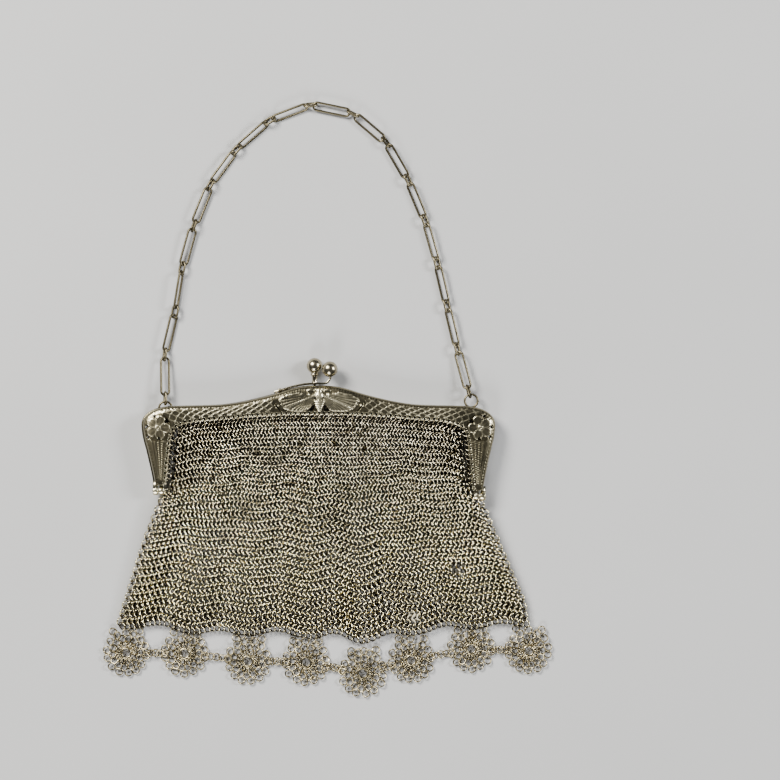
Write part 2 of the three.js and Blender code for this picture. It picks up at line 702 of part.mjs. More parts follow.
// One point of the pouch's skin: u runs across from -1 to 1, v from the mouth to the bottom edge.
function pouchPoint(u, v, inset, front) {
  const side = u < 0 ? "left" : "right";
  const top = mouthTop(u * legInside(FRAME_RISE, u)) - 2 * CLEARANCE;
  const bottom = pouchBottom(u * POUCH_HALF_WIDTH * EDGE_SHARE) + inset;
  const y = lerp(top, bottom, v);
  const drop = -y / POUCH_HEIGHT;
  const inLegs = y > LEFT_LEG_SHORT;
  const half = readTable(POUCH_SIDES, "drop", side, drop) * POUCH_HALF_WIDTH;
  const x = u * (inLegs ? legInside(y, u) + inset : half - inset);
  const belly = POUCH_MOUTH + POUCH_BULGE * Math.sin(Math.PI * Math.min(2 * v, 1));
  const thick = lerp(belly, POUCH_FOOT, Math.max(v - LAID_FROM, 0) / (1 - LAID_FROM));
  const rim = 1 - PINCH * Math.abs(u) ** 8 * Math.min(v * 5, 1);
  const base = lerp(PARTING - POUCH_MOUTH / 2, SETTLE, Math.min(v / LAID_FROM, 1));
  const ripple = RIPPLE * Math.sin(u * 11 + v * 2) * Math.sin(v * 5 + u * 2) * Math.min(v * 4, 1);
  const middle = base + thick / 2;
  const z = front ? middle + (thick / 2) * rim + ripple - inset : middle - (thick / 2) * rim + inset;
  return new THREE.Vector3(x, v === 0 && inset ? y + 2 * THROUGH : y, z);
}

// A closed pillow from a front and a back grid of points with a shared border.
function pillow(inset, { columns, rows }) {
  const place = [];
  const faces = [];
  const wide = columns + 1;
  const sheet = wide * rows.length;
  const last = rows.length - 1;
  for (const front of [true, false]) {
    for (const share of rows) {
      for (let i = 0; i <= columns; i++) {
        place.push(...pouchPoint((2 * i) / columns - 1, share, inset, front).toArray());
      }
    }
  }
  for (let j = 0; j < last; j++) {
    for (let i = 0; i < columns; i++) {
      const a = j * wide + i;
      const [b, c, d] = [a + 1, a + wide, a + wide + 1];
      faces.push(a, c, b, b, c, d);
      faces.push(a + sheet, b + sheet, c + sheet, b + sheet, d + sheet, c + sheet);
    }
  }
  const border = [];
  for (let i = 0; i < columns; i++) border.push(i);
  for (let j = 0; j < last; j++) border.push(j * wide + columns);
  for (let i = columns; i > 0; i--) border.push(last * wide + i);
  for (let j = last; j > 0; j--) border.push(j * wide);
  border.forEach((a, k) => {
    const b = border[(k + 1) % border.length];
    faces.push(a, b, a + sheet, b, b + sheet, a + sheet);
  });
  return closedSolid(place, faces);
}

// Room for the hinges at the pouch's two shoulders.
function hingeRoom() {
  const near = HINGE_ACROSS - 2 * KNUCKLE_LENGTH;
  const far = HINGE_ACROSS + 2 * KNUCKLE_LENGTH;
  return [-1, 1].map((sign) => {
    const legEnd = sign < 0 ? LEFT_LEG_SHORT : 0;
    const low = legEnd - HINGE_DROP - KNUCKLE_RADIUS - CLEARANCE;
    const [a, b] = sign < 0 ? [-far, -near] : [near, far];
    const high = legEnd + 2 * KNUCKLE_RADIUS;
    const outline = [
      [a, low],
      [b, low],
      [b, high],
      [a, high],
    ];
    return prism(outline, -THROUGH, 3 * HALF_DEPTH);
  });
}

function pouch() {
  return pillow(0, SKIN).subtract(pillow(POUCH_WALL, HOLLOW)).subtract(join(hingeRoom()));
}

// Fringe

const LOBES = 12;
const GAPS = 6;
const NECK_SPREAD = rad(17); // half the angle that a neck takes of the rim
const NECK_FALL = 0.85; // a neck's foot as a share of its reach
const LOBE_DIP = 0.945; // the notches between lobes, as a share of the radius
const GAP_REACH = 0.48; // middles of the inner gaps, as a share of the radius
const HANGER = 3.5; // how far the three upper lobes reach past the disc
const HANGER_FROM = 0.8; // sine of the lowest angle at which a lobe is an upper one
const LINK_ROLL = 50; // roll of the joining rings, in degrees
const RING_HEIGHT = RING_WIDTH / 2 - CLEARANCE; // middle of the fringe over the surface

// Middles of the rosettes, each under the pouch's bottom edge.
const ROSETTES = FRINGE.map(({ across, under, radius, turn }) => {
  const x = across * POUCH_HALF_WIDTH;
  return { x, y: pouchBottom(x) - under * POUCH_HALF_WIDTH, radius: radius * POUCH_HALF_WIDTH, turn };
});

// The way from one rosette to a neighbour, and how far its rim swells that way to meet it.
function neck(row, neighbour) {
  const run = new THREE.Vector2(neighbour.x - row.x, neighbour.y - row.y);
  const share = row.radius / (row.radius + neighbour.radius);
  return { heading: run.angle(), reach: run.length() * share - ROSETTE_SPACE / 2 };
}

// Where the ring to a neighbour hooks in, from the rosette's middle.
function eyelet(row, neighbour) {
  const { heading, reach } = neck(row, neighbour);
  const out = reach - EYELET_RADIUS - EYELET_RIM;
  return new THREE.Vector2(Math.cos(heading) * out, Math.sin(heading) * out);
}

// A pierced disc of small rings: scalloped edge, centre hole, gaps, eyelets and three longer lobes that
// reach up to just below the pouch's edge.
function rosette(index, skyline) {
  const { x, y, radius, turn } = ROSETTES[index];
  const neighbours = [ROSETTES[index - 1], ROSETTES[index + 1]].filter((row) => row);
  const necks = neighbours.map((row) => neck(ROSETTES[index], row));
  const shape = new THREE.Shape();
  for (let i = 0; i < 2 * LOBES; i++) {
    const angle = rad(turn) + (i / LOBES) * Math.PI;
    const hanger = Math.sin(angle) > HANGER_FROM ? HANGER : 0;
    const lobe = i % 2 ? radius * LOBE_DIP : radius + hanger;
    const reach = necks.reduce((far, { heading, reach: swell }) => {
      const off = Math.abs(Math.atan2(Math.sin(angle - heading), Math.cos(angle - heading)));
      return Math.max(far, swell * lerp(1, NECK_FALL, Math.max(off - NECK_SPREAD, 0) / NECK_SPREAD));
    }, lobe);
    const [px, py] = [Math.cos(angle) * reach, Math.sin(angle) * reach];
    if (i) shape.lineTo(px, py);
    else shape.moveTo(px, py);
  }
  shape.holes.push(ringPath(0, 0, ROSETTE_HOLE, 10, 0));
  for (let i = 0; i < GAPS; i++) {
    const angle = turn + ((i + 0.5) / GAPS) * 360;
    const reach = radius * GAP_REACH;
    const [px, py] = [Math.cos(rad(angle)) * reach, Math.sin(rad(angle)) * reach];
    shape.holes.push(ringPath(px, py, ROSETTE_GAP, 3, angle));
  }
  for (const neighbour of neighbours) {
    const eye = eyelet(ROSETTES[index], neighbour);
    shape.holes.push(ringPath(eye.x, eye.y, EYELET_RADIUS, 6, 0));
  }
  const base = RING_HEIGHT - ROSETTE_THICKNESS / 2;
  const disc = new THREE.ExtrudeGeometry(shape, { depth: ROSETTE_THICKNESS, bevelEnabled: false });
  return solidOf(disc.translate(x, y, base)).subtract(skyline);
}

// Everything above the pouch's bottom edge, down to a small clearance below it.
function aboveFringe() {
  const { columns } = SKIN;
  const edge = [];
  for (let i = 0; i <= columns; i++) {
    const p = pouchPoint((2 * i) / columns - 1, 1, 0, true);
    edge.push([p.x, p.y - 1.3 * CLEARANCE]);
  }
  edge[0][0] -= POUCH_HALF_WIDTH / 4;
  edge[columns][0] += POUCH_HALF_WIDTH / 4;
  const high = -POUCH_HEIGHT / 2;
  return prism([...edge, [edge[columns][0], high], [edge[0][0], high]], -THROUGH, HALF_DEPTH);
}

function ringPath(x, y, radius, sides, turn) {
  const path = new THREE.Path();
  for (let i = 0; i < sides; i++) {
    const angle = rad(turn) - (i / sides) * 2 * Math.PI;
    const [px, py] = [x + Math.cos(angle) * radius, y + Math.sin(angle) * radius];
    if (i) path.lineTo(px, py);
    else path.moveTo(px, py);
  }
  return path;
}

// The ring between two rosettes, hooked through an eyelet of each.
function linkRing(left, right) {
  const place = (row, eye) => new THREE.Vector3(row.x + eye.x, row.y + eye.y, RING_HEIGHT);
  const a = place(left, eyelet(left, right));
  const b = place(right, eyelet(right, left));
  const run = b.clone().sub(a);
  const length = run.length() + RING_WIRE + 2 * RING_PLAY;
  const along = run.clone().normalize();
  const roll = rad(LINK_ROLL);
  const across = new THREE.Vector3(-along.y * Math.cos(roll), along.x * Math.cos(roll), Math.sin(roll));
  return wireLoop({
    middle: a.addScaledVector(run, 0.5),
    along,
    across,
    length,
    width: RING_WIDTH,
    wire: RING_WIRE,
    endSteps: 4,
    sides: 5,
  });
}

// Assembly

function piece(name, solid, finish) {
  const mesh = new THREE.Mesh(geometryOf(solid), new THREE.MeshStandardMaterial(finish));
  mesh.name = name;
  return mesh;
}

function buildPurse() {
  const laid = new THREE.Group();
  const stations = frameStations();

  const front = new THREE.Group();
  front.position.z = FRONT_BASE;
  front.add(piece("front_frame", frontFrame(stations), SILVER));
  front.add(piece("clasp_arm_ball", claspArm().translate(0, 0, TENON_DEPTH - ARM_WIDTH / 2), BRIGHT));
  laid.add(front);

  const back = new THREE.Group();
  back.position.set(-FRAME_SHIFT, 0, 0);
  const backSolid = backFrame(stations).mirror([0, 0, 1]).translate(0, 0, BACK_TOP);
  back.add(piece("back_frame", backSolid, SILVER));
  laid.add(back);

  const post = piece("clasp_post_ball", claspPost(), BRIGHT);
  post.position.set(POST_X, 0, BACK_TOP - TENON_DEPTH);
  laid.add(post);

  for (const [name, sign] of [
    ["hinge_pin_left", -1],
    ["hinge_pin_right", 1],
  ]) {
    const legEnd = sign < 0 ? LEFT_LEG_SHORT : 0;
    const pin = piece(name, solidOf(rod(PIN_RADIUS, 2 * KNUCKLE_LENGTH + CLEARANCE, 10)), SILVER);
    pin.rotation.z = Math.PI / 2;
    pin.position.set(sign * HINGE_ACROSS, legEnd - HINGE_DROP, PARTING);
    laid.add(pin);
  }

  laid.add(piece("mesh_pouch", pouch(), MESH_SILVER));
  chain().forEach(({ name, solid }) => laid.add(piece(name, solid, SILVER)));
  const skyline = aboveFringe();
  ROSETTES.forEach((row, i) => {
    laid.add(piece("fringe_rosette_" + (i + 1), rosette(i, skyline), MESH_SILVER));
    if (i) {
      laid.add(piece("fringe_link_" + i, linkRing(ROSETTES[i - 1], row), MESH_SILVER));
    }
  });

  // The part's own origin is at the middle of its outline, on the surface that it lies on.
  const box = new THREE.Box3().setFromObject(laid, true);
  const middle = box.getCenter(new THREE.Vector3());
  laid.position.set(-middle.x, -middle.y, -box.min.z);
  const purse = new THREE.Group();
  purse.add(laid);
  return purse;
}

export default buildPurse();
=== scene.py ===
"""Looks of a metal mesh purse that lies flat on its back: stamped frame, ring mail, chain and fringe.

Shapes are worked out in millimetres from the drawing's origin, on the frame's centre line and level with
its leg ends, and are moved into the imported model's frame, in metres, when a mesh is made.
"""

import bpy
import numpy as np
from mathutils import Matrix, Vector
from mathutils.kdtree import KDTree


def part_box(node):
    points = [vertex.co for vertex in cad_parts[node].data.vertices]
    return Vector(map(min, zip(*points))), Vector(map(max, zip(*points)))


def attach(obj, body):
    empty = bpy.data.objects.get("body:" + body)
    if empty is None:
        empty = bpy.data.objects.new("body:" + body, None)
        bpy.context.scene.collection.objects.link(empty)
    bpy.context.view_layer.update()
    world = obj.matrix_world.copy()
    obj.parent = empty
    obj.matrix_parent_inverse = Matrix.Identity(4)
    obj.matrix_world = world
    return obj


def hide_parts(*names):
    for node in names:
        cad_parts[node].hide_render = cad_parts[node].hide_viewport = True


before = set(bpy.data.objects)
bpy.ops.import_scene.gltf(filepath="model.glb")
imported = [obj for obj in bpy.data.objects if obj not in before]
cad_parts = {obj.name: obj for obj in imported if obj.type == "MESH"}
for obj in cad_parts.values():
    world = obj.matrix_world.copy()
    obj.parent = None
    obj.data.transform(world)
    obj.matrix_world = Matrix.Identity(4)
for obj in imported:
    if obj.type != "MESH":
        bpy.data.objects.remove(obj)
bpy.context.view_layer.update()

# Sizes of the solids, in millimetres
MM = 0.001
FRAME_HALF_WIDTH = 70.2
FRAME_RISE = 41.9
FRAME_SHIFT = 0.8
LEFT_LEG_SHORT = 2.2
HALF_DEPTH = 4.1
CLEARANCE = 0.3
SHEET = 0.9
FLANGE = 1.5
FOOT = 2.0
FLANGE_TOP = 0.62 * HALF_DEPTH
FRONT_BASE = HALF_DEPTH + CLEARANCE
PARTING = HALF_DEPTH + CLEARANCE / 2
FLOWER_ACROSS = 64.2
FLOWER_UP = 25.0
FLOWER_RADIUS = 4.5
KNUCKLE_RADIUS = 1.8
KNUCKLE_LENGTH = 2.1
HINGE_ACROSS = 64.06
HINGE_DROP = 2.3
PIN_RADIUS = 0.7
BALL_RADIUS = 3.15
CHAIN_WIRE = 0.86
BAIL_RADIUS = 3.0
RING_WIRE = 0.5
RING_WIDTH = 3.3
RING_LINE = (RING_WIDTH - RING_WIRE) / 2
POUCH_HEIGHT = 60.0
POUCH_HALF_WIDTH = 85.4
POUCH_MOUTH = 6.6
POUCH_FOOT = 3.3

# Frame outline from the middle of the arch to a leg's end: out x, out y, in x, in y, as shares of
# FRAME_HALF_WIDTH and FRAME_RISE
FRAME_STATIONS = np.array([
    (0, 1, 0, 0.716),
    (0.085, 0.991, 0.09, 0.716),
    (0.16, 0.966, 0.175, 0.714),
    (0.24, 0.924, 0.255, 0.709),
    (0.33, 0.884, 0.345, 0.7),
    (0.43, 0.847, 0.44, 0.688),
    (0.54, 0.82, 0.54, 0.673),
    (0.66, 0.811, 0.64, 0.66),
    (0.77, 0.807, 0.725, 0.645),
    (0.86, 0.799, 0.782, 0.618),
    (0.93, 0.77, 0.815, 0.58),
    (0.978, 0.715, 0.832, 0.53),
    (0.999, 0.64, 0.84, 0.47),
    (0.993, 0.51, 0.846, 0.385),
    (0.973, 0.365, 0.852, 0.29),
    (0.953, 0.21, 0.858, 0.185),
    (0.939, 0.09, 0.863, 0.08),
    (0.93, 0, 0.868, 0),
])

# Gaps pierced round a flower: angle in degrees, reach as a share of its radius, size in mm
FLOWER_GAPS = ((4, 1, 0.8), (73, 1.07, 0.75), (143, 0.98, 1.15), (264, 0.98, 0.85), (315, 1.18, 0.8))

# Gaps pierced beside the moth's tail and past its wing tips: corners in mm
MOTH_GAPS = (
    ((1.9, 31.7), (4.2, 31.7), (3.6, 32.8), (2.2, 34.3), (1.9, 34.2)),
    ((14.9, 31.3), (15.5, 31.4), (17.1, 33.2), (17.9, 34.7), (17.4, 34.8), (16.4, 33.3)),
)

# Pouch sides: drop as a share of POUCH_HEIGHT, left and right as shares of POUCH_HALF_WIDTH
POUCH_SIDES = np.array([
    (-0.03, 0.7, 0.7),
    (0.05, 0.75, 0.745),
    (0.085, 0.763, 0.775),
    (0.17, 0.786, 0.8),
    (0.3, 0.823, 0.836),
    (0.45, 0.859, 0.883),
    (0.6, 0.89, 0.926),
    (0.75, 0.923, 0.973),
    (0.88, 0.955, 0.986),
    (1.05, 0.95, 1),
])

# Pouch bottom edge: place across and drop, as shares of POUCH_HALF_WIDTH and POUCH_HEIGHT
POUCH_EDGE = np.array([
    (-1, 0.925), (-0.72, 0.935), (-0.58, 0.972), (-0.2, 0.975), (0, 1), (0.08, 0.985), (0.16, 1.025),
    (0.25, 1.02), (0.35, 0.98), (0.5, 0.965), (0.6, 0.935), (1, 0.915),
])

# Fringe rosettes: x, y, radius in mm, turn in degrees
ROSETTES = (
    (-77.2, -65, 8.7, 5), (-53.8, -65.2, 8.8, 0), (-28.6, -68.2, 8.8, 9), (-5.3, -68.7, 8.9, -4),
    (17.3, -73.2, 9, 8), (36.7, -67.9, 8.6, -8), (60.6, -63.4, 8.8, 3), (83.5, -64.2, 8.7, 0),
)

BAILS = ((-60.6, 32.8), (61.4, 35.7))
POST_X = -1.9
RIVET_X = -15.8
TENON_DEPTH = 0.95

# The drawing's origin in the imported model's frame
front_low, front_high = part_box("front_frame")
ORIGIN = np.array([(front_low.x + front_high.x) / 2, front_high.y - FRAME_RISE * MM, 0.0])

random = np.random.default_rng(7)


# Small helpers

def smoothstep(low, high, value):
    t = np.clip((value - low) / (high - low), 0, 1)
    return t * t * (3 - 2 * t)


def dome(a, b=0):
    """Height of a round dome of radius and height 1."""
    return np.sqrt(np.clip(1 - a**2 - b**2, 0, 1))


def unit(vectors):
    return vectors / np.linalg.norm(vectors, axis=-1, keepdims=True)


def catmull(rows, where):
    """Smooth values of a table's columns at row positions where."""
    last = len(rows) - 1
    i = np.clip(np.floor(where).astype(int), 0, last - 1)
    f = (where - i)[:, None]
    a, b, c, d = (rows[np.clip(i + k, 0, last)] for k in (-1, 0, 1, 2))
    return 0.5 * (2 * b + (c - a) * f + (2 * a - 5 * b + 4 * c - d) * f**2 + (3 * b - a - 3 * c + d) * f**3)


def smooth_table(xs, ys, blur):
    """A function that reads a table by straight lines rounded off over blur."""
    fine = np.linspace(xs[0], xs[-1], 600)
    step = fine[1] - fine[0]
    half = max(int(blur / step), 1)
    window = np.hanning(2 * half + 1)
    padded = np.pad(np.interp(fine, xs, ys), half, mode="edge")
    values = np.convolve(padded, window / window.sum(), mode="valid")
    return lambda x: np.interp(x, fine, values)


def grid_quads(rows, columns, close_rows=False, close_columns=False):
    """Faces of a grid of points listed row by row."""
    r = np.arange(rows if close_rows else rows - 1)[:, None]
    c = np.arange(columns if close_columns else columns - 1)[None, :]
    r2, c2 = (r + 1) % rows, (c + 1) % columns
    corners = (r * columns + c, r2 * columns + c, r2 * columns + c2, r * columns + c2)
    return np.stack(np.broadcast_arrays(*corners), -1).reshape(-1, 4)


def end_fans(rows, columns):
    """Triangles from a grid's first and last row to the two points that are listed after the grid's own."""
    j = np.arange(columns)
    k = (j + 1) % columns
    top = (rows - 1) * columns
    first, last = (np.full(columns, rows * columns + i) for i in (0, 1))
    return [np.stack([j, k, first], -1), np.stack([top + k, top + j, last], -1)]


# A part of a mesh is its points in mm, its faces as lists of arrays, and how worn each point is, which in
# places also holds painted shade.

def part(points, faces, wear_and_shade=0.5):
    points = np.asarray(points, float).reshape(-1, 3)
    return {"points": points, "faces": faces, "wear_and_shade": np.broadcast_to(wear_and_shade, (len(points),)).astype(float)}


def volume(piece):
    total = 0.0
    for faces in piece["faces"]:
        for k in range(1, faces.shape[1] - 1):
            a, b, c = (piece["points"][faces[:, i]] for i in (0, k, k + 1))
            total += np.einsum("ij,ij->i", a, np.cross(b, c)).sum()
    return total


def outward(piece):
    """The closed part with its faces turned outwards."""
    if volume(piece) < 0:
        piece["faces"] = [faces[:, ::-1] for faces in piece["faces"]]
    return piece


def loft(rings, tips=None, closed=False, wear_and_shade=0.5):
    """A closed body through rings of points, with a fan at each end unless it closes on itself.

    The fans meet in the two tips, or else in the middles of the end rings.
    """
    rings = np.asarray(rings, float)
    count, sides = rings.shape[:2]
    faces = [grid_quads(count, sides, close_rows=closed, close_columns=True)]
    points = rings.reshape(-1, 3)
    if closed:
        return outward(part(points, faces, wear_and_shade))
    ends = tips or (rings[0].mean(0), rings[-1].mean(0))
    faces += end_fans(count, sides)
    worn_and_shaded = np.append(np.broadcast_to(wear_and_shade, (len(points),)), [0.5, 0.5])
    return outward(part(np.vstack([points, ends]), faces, worn_and_shaded))


def lathe(profile, sides, axis_start, axis, across, wear_and_shade=0.5):
    """A turned body from a list of its radii and their places along an axis."""
    axis, across = np.asarray(axis, float), np.asarray(across, float)
    third = np.cross(axis, across)
    turn = np.linspace(0, 2 * np.pi, sides, endpoint=False)
    round_way = np.cos(turn)[:, None] * across + np.sin(turn)[:, None] * third
    start = np.asarray(axis_start, float)
    rings = [start + axis * along + round_way * radius for radius, along in profile if radius > 0]
    tips = (start + axis * profile[0][1], start + axis * profile[-1][1])
    return loft(rings, tips, wear_and_shade=wear_and_shade)


def mirrored(half):
    """A turned body's profile from its right half, listed from the end to the middle."""
    return [(radius, -along) for radius, along in half] + half[::-1]


def ring_field(centres, right, up, line, wire, segments, sides, wear_and_shade=0.5, rubbed_and_shaded_way=0):
    """Many round wire rings at once. right and up span each ring's plane.

    Where the last argument is 1 or -1, only a ring's highest or lowest stretch stays rubbed bright,
    and the rest of the ring is darkened as painted shade.
    """
    centres, right, up = (np.atleast_2d(np.asarray(v, float)) for v in (centres, right, up))
    count = len(centres)
    normal = np.cross(right, up)
    line = np.broadcast_to(line, (count,))[:, None, None]
    phi = np.linspace(0, 2 * np.pi, segments, endpoint=False)[None, :, None]
    psi = np.linspace(0, 2 * np.pi, sides, endpoint=False)[None, None, :, None]
    out = np.cos(phi) * right[:, None] + np.sin(phi) * up[:, None]
    middle = centres[:, None] + line * out
    section = np.cos(psi) * out[:, :, None] + np.sin(psi) * normal[:, None, None]
    points = (middle[:, :, None] + section * wire / 2).reshape(-1, 3)
    one = grid_quads(segments, sides, True, True)[:, ::-1]
    faces = (one[None] + np.arange(count)[:, None, None] * segments * sides).reshape(-1, 4)
    worn_and_shaded = np.repeat(np.broadcast_to(wear_and_shade, (count,)), segments * sides)
    # Painted shade: the stretch of each ring that lies in the mail, under its neighbours, is darkened
    if rubbed_and_shaded_way:
        worn_and_shaded = worn_and_shaded * np.repeat(smoothstep(-0.3, 0.7, out[:, :, 2] * rubbed_and_shaded_way).reshape(-1), sides)
    return part(points, [faces], worn_and_shaded)


def wire_loop(middle, along, across, length, width, wire, end_steps, sides):
    """A wire bent into a loop of two straights and two round ends."""
    normal = np.cross(along, across)
    bend = (width - wire) / 2
    straight = length / 2 - wire / 2 - bend
    psi = np.linspace(0, 2 * np.pi, sides, endpoint=False)[:, None]
    rings = []
    for end in (1, -1):
        for angle in np.linspace(-0.5, 0.5, end_steps) * np.pi:
            out = (np.cos(angle) * along + np.sin(angle) * across) * end
            centre = middle + along * straight * end + out * bend
            rings.append(centre + (np.cos(psi) * out + np.sin(psi) * normal) * wire / 2)
    return loft(rings, closed=True)


def add_piece(name, parts, material, nodes=()):
    """One object of the purse from its parts. It rides on the root body and stands for the named nodes."""
    start = 0
    lists = []
    for piece in parts:
        lists += [faces + start for faces in piece["faces"]]
        start += len(piece["points"])
    points = np.vstack([piece["points"] for piece in parts]) * MM + ORIGIN
    corners = np.concatenate([faces.reshape(-1) for faces in lists]).astype(np.int32)
    sizes = np.concatenate([np.full(len(faces), faces.shape[1]) for faces in lists]).astype(np.int32)
    mesh = bpy.data.meshes.new(name)
    mesh.vertices.add(len(points))
    mesh.vertices.foreach_set("co", points.astype(np.float32).reshape(-1))
    mesh.loops.add(len(corners))
    mesh.loops.foreach_set("vertex_index", corners)
    mesh.polygons.add(len(sizes))
    mesh.polygons.foreach_set("loop_start", np.concatenate([[0], np.cumsum(sizes)[:-1]]).astype(np.int32))
    mesh.polygons.foreach_set("use_smooth", np.ones(len(sizes), bool))
    mesh.update(calc_edges=True)
    wear_and_shade = mesh.attributes.new("wear_and_shade", "FLOAT", "POINT")
    wear_and_shade.data.foreach_set("value", np.concatenate([p["wear_and_shade"] for p in parts]).astype(np.float32))
    piece = bpy.data.objects.new(name, mesh)
    bpy.context.scene.collection.objects.link(piece)
    mesh.materials.append(material)
    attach(piece, "root")
    if nodes:
        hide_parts(*nodes)
    return piece


# Materials

class Shader:
    """A short way to add and join shader nodes."""

    def __init__(self, name):
        self.material = bpy.data.materials.new(name)
        self.material.use_nodes = True
        self.tree = self.material.node_tree
        self.surface = self.tree.nodes["Principled BSDF"]

    def node(self, kind, inputs=(), **settings):
        made = self.tree.nodes.new(kind)
        for key, value in settings.items():
            setattr(made, key, value)
        for key, value in dict(inputs).items():
            if isinstance(value, bpy.types.NodeSocket):
                self.tree.links.new(value, made.inputs[key])
            else:
                made.inputs[key].default_value = value
        return made

    def place(self):
        return self.node("ShaderNodeTexCoord").outputs["Object"]

    def noise(self, scale, detail=3.0):
        inputs = {"Vector": self.place(), "Scale": scale, "Detail": detail}
        return self.node("ShaderNodeTexNoise", inputs).outputs[0]

    def spread(self, value, low, high, to_low=0.0, to_high=1.0):
        inputs = {"Value": value, "From Min": low, "From Max": high, "To Min": to_low, "To Max": to_high}
        return self.node("ShaderNodeMapRange", inputs).outputs[0]

    def calc(self, operation, a, b):
        return self.node("ShaderNodeMath", {0: a, 1: b}, operation=operation).outputs[0]

    def mix(self, share, a, b):
        return self.node("ShaderNodeMix", {0: share, 6: a, 7: b}, data_type="RGBA").outputs[2]

    def attribute(self, name):
        return self.node("ShaderNodeAttribute", attribute_name=name).outputs["Fac"]

    def join(self, value, socket):
        self.tree.links.new(value, self.surface.inputs[socket])


def rgb(red, green, blue):
    return (red, green, blue, 1.0)


def tarnished(name, bright, dark, roughness, wear_and_shade_range, grain_depth, lower=None, stain=None):
    """Aged silver plate: bright where its attribute of wear and painted shade is high, and blotched with
    tarnish elsewhere.

    Its range argument gives the values at which it is dark and bright, lower the colour that it turns to
    towards the bottom edge, and stain the place of a pale crust on it. That and grain_depth are in metres.
    """
    shader = Shader(name)
    shader.surface.inputs["Metallic"].default_value = 1.0
    blotch = shader.spread(shader.noise(70.0, 5.0), 0.35, 0.68)
    speck = shader.spread(shader.noise(900.0, 3.0), 0.3, 0.75)
    worn_and_shaded = shader.spread(shader.attribute("wear_and_shade"), *wear_and_shade_range)
    mottle = shader.calc("ADD", shader.calc("MULTIPLY", blotch, 0.35), shader.calc("MULTIPLY", speck, 0.25))
    share = shader.calc("MULTIPLY", worn_and_shaded, shader.calc("SUBTRACT", 1.15, mottle))
    clean = rgb(*bright)
    if lower:
        height = shader.node("ShaderNodeSeparateXYZ", {"Vector": shader.place()}).outputs[1]
        drift = shader.calc("ADD", height, shader.calc("MULTIPLY", shader.noise(30.0), 0.04))
        clean = shader.mix(shader.spread(drift, -0.055, 0.02), rgb(*lower), clean)
    colour = shader.mix(share, rgb(*dark), clean)
    gloss = shader.spread(mottle, 0.0, 0.6, roughness - 0.06, roughness + 0.14)
    if stain:
        between = {0: shader.place(), 1: stain}
        away = shader.node("ShaderNodeVectorMath", between, operation="DISTANCE").outputs[1]
        ragged = shader.calc("ADD", away, shader.calc("MULTIPLY", shader.noise(400.0), 0.003))
        crust = shader.spread(ragged, 0.0042, 0.0028)
        colour = shader.mix(crust, colour, rgb(0.72, 0.66, 0.5))
        gloss = shader.calc("ADD", gloss, shader.calc("MULTIPLY", crust, 0.4))
        shader.join(shader.spread(crust, 0.0, 1.0, 1.0, 0.3), "Metallic")
    shader.join(colour, "Base Color")
    shader.join(gloss, "Roughness")
    grain = {"Height": shader.noise(2600.0, 4.0), "Distance": grain_depth, "Strength": 1.0}
    shader.join(shader.node("ShaderNodeBump", grain).outputs[0], "Normal")
    return shader.material


# The middle of the pale crust on the mail
STAIN = tuple(ORIGIN + np.array([37.8, -50.4, 3.4]) * MM)
FRAME_METAL = tarnished(
    "stamped_silver", (0.95, 0.87, 0.6), (0.055, 0.045, 0.022), 0.27, (0.0, 1.0), 0.00003,
)
MESH_METAL = tarnished(
    "ring_silver", (0.8, 0.72, 0.54), (0.035, 0.026, 0.012), 0.2, (0.0, 0.85), 0.00001,
    lower=(0.95, 0.84, 0.5), stain=STAIN,
)
FRINGE_METAL = tarnished(
    "fringe_silver", (0.48, 0.41, 0.25), (0.035, 0.028, 0.014), 0.28, (0.0, 0.9), 0.00001,
)
CHAIN_METAL = tarnished(
    "chain_silver", (0.22, 0.19, 0.12), (0.03, 0.024, 0.012), 0.34, (0.0, 0.9), 0.00002,
)
BALL_METAL = tarnished(
    "ball_silver", (0.5, 0.45, 0.32), (0.1, 0.075, 0.04), 0.18, (0.0, 0.8), 0.00001,
)


# Frame halves

# The round holes along the inner edge, and the wire loops through them
HOLE_PITCH = 1.9
HOLE_RADIUS = 0.5
HOLE_FROM_EDGE = 0.9
COIL_LINE = 0.9

# How finely the stamped channel is divided
STATIONS = 1480
BACK_STATIONS = 860
PLATEAU_STEPS = 26
ROLL_STEPS = 12
END_WALL_STATIONS = 3
PLAIN_END_STATIONS = 6

# The flange's lift over the solid's, the ornament's margins and depth, and how much of it the back half has
FLANGE_LIFT = 1.5
BAND_FROM = 1.6
BAND_TO = 1.3
RELIEF_DEEP = 0.45
BACK_RELIEF = 0.35

# Wear of the flange's top, and how dark the channel's inside faces are painted, as painted shade where the
# holes look onto them
FLANGE_WEAR = 0.4
INSIDE_SHADE = 0.1

# The net of leaves, with its waves' height as a share of a cell and their shift across the band
LEAF_ROWS = 4
LEAF_LENGTH = 3.9
LEAF_WAVE = 0.44
LEAF_SHIFT = 1.3
LEAF_LINE = 0.17

# The flower, with half the length and width of a petal
PETALS = 5
PETAL_REACH = 2.75
PETAL_LENGTH = 2.1
PETAL_WIDTH = 1.75
FIRST_PETAL = 38
BORDER_REACH = 5.3

# The moth's right wings, with the angle at which the upper one laps the lower one, and their reach by angle
WING_ROOT = (1.2, 38.1)
RIB_ANGLE = 5.4
LAP_ANGLE = -24
WING_REACH = np.array([
    (-75, 3), (-70, 5.2), (-58, 7.4), (-45, 9.3), (-31, 12.2), (-19, 14.6), (-8, 15), (-2, 13), (4, 9),
    (9, 6),
])

# How far above the floor the lowest wires are set down
SETTLE = 0.05


def frame_rows():
    """The frame's outer and inner edge from its left leg over the arch to its right leg, in mm."""
    sizes = np.array([FRAME_HALF_WIDTH, FRAME_RISE] * 2)
    right = FRAME_STATIONS * sizes
    left = right[:0:-1].copy()
    left[:, [0, 2]] *= -1
    shorten = 1 - LEFT_LEG_SHORT / FLOWER_UP
    for column in (1, 3):
        y = left[:, column]
        left[:, column] = np.where(y < FLOWER_UP, FLOWER_UP - (FLOWER_UP - y) * shorten, y)
    return np.vstack([left, right])


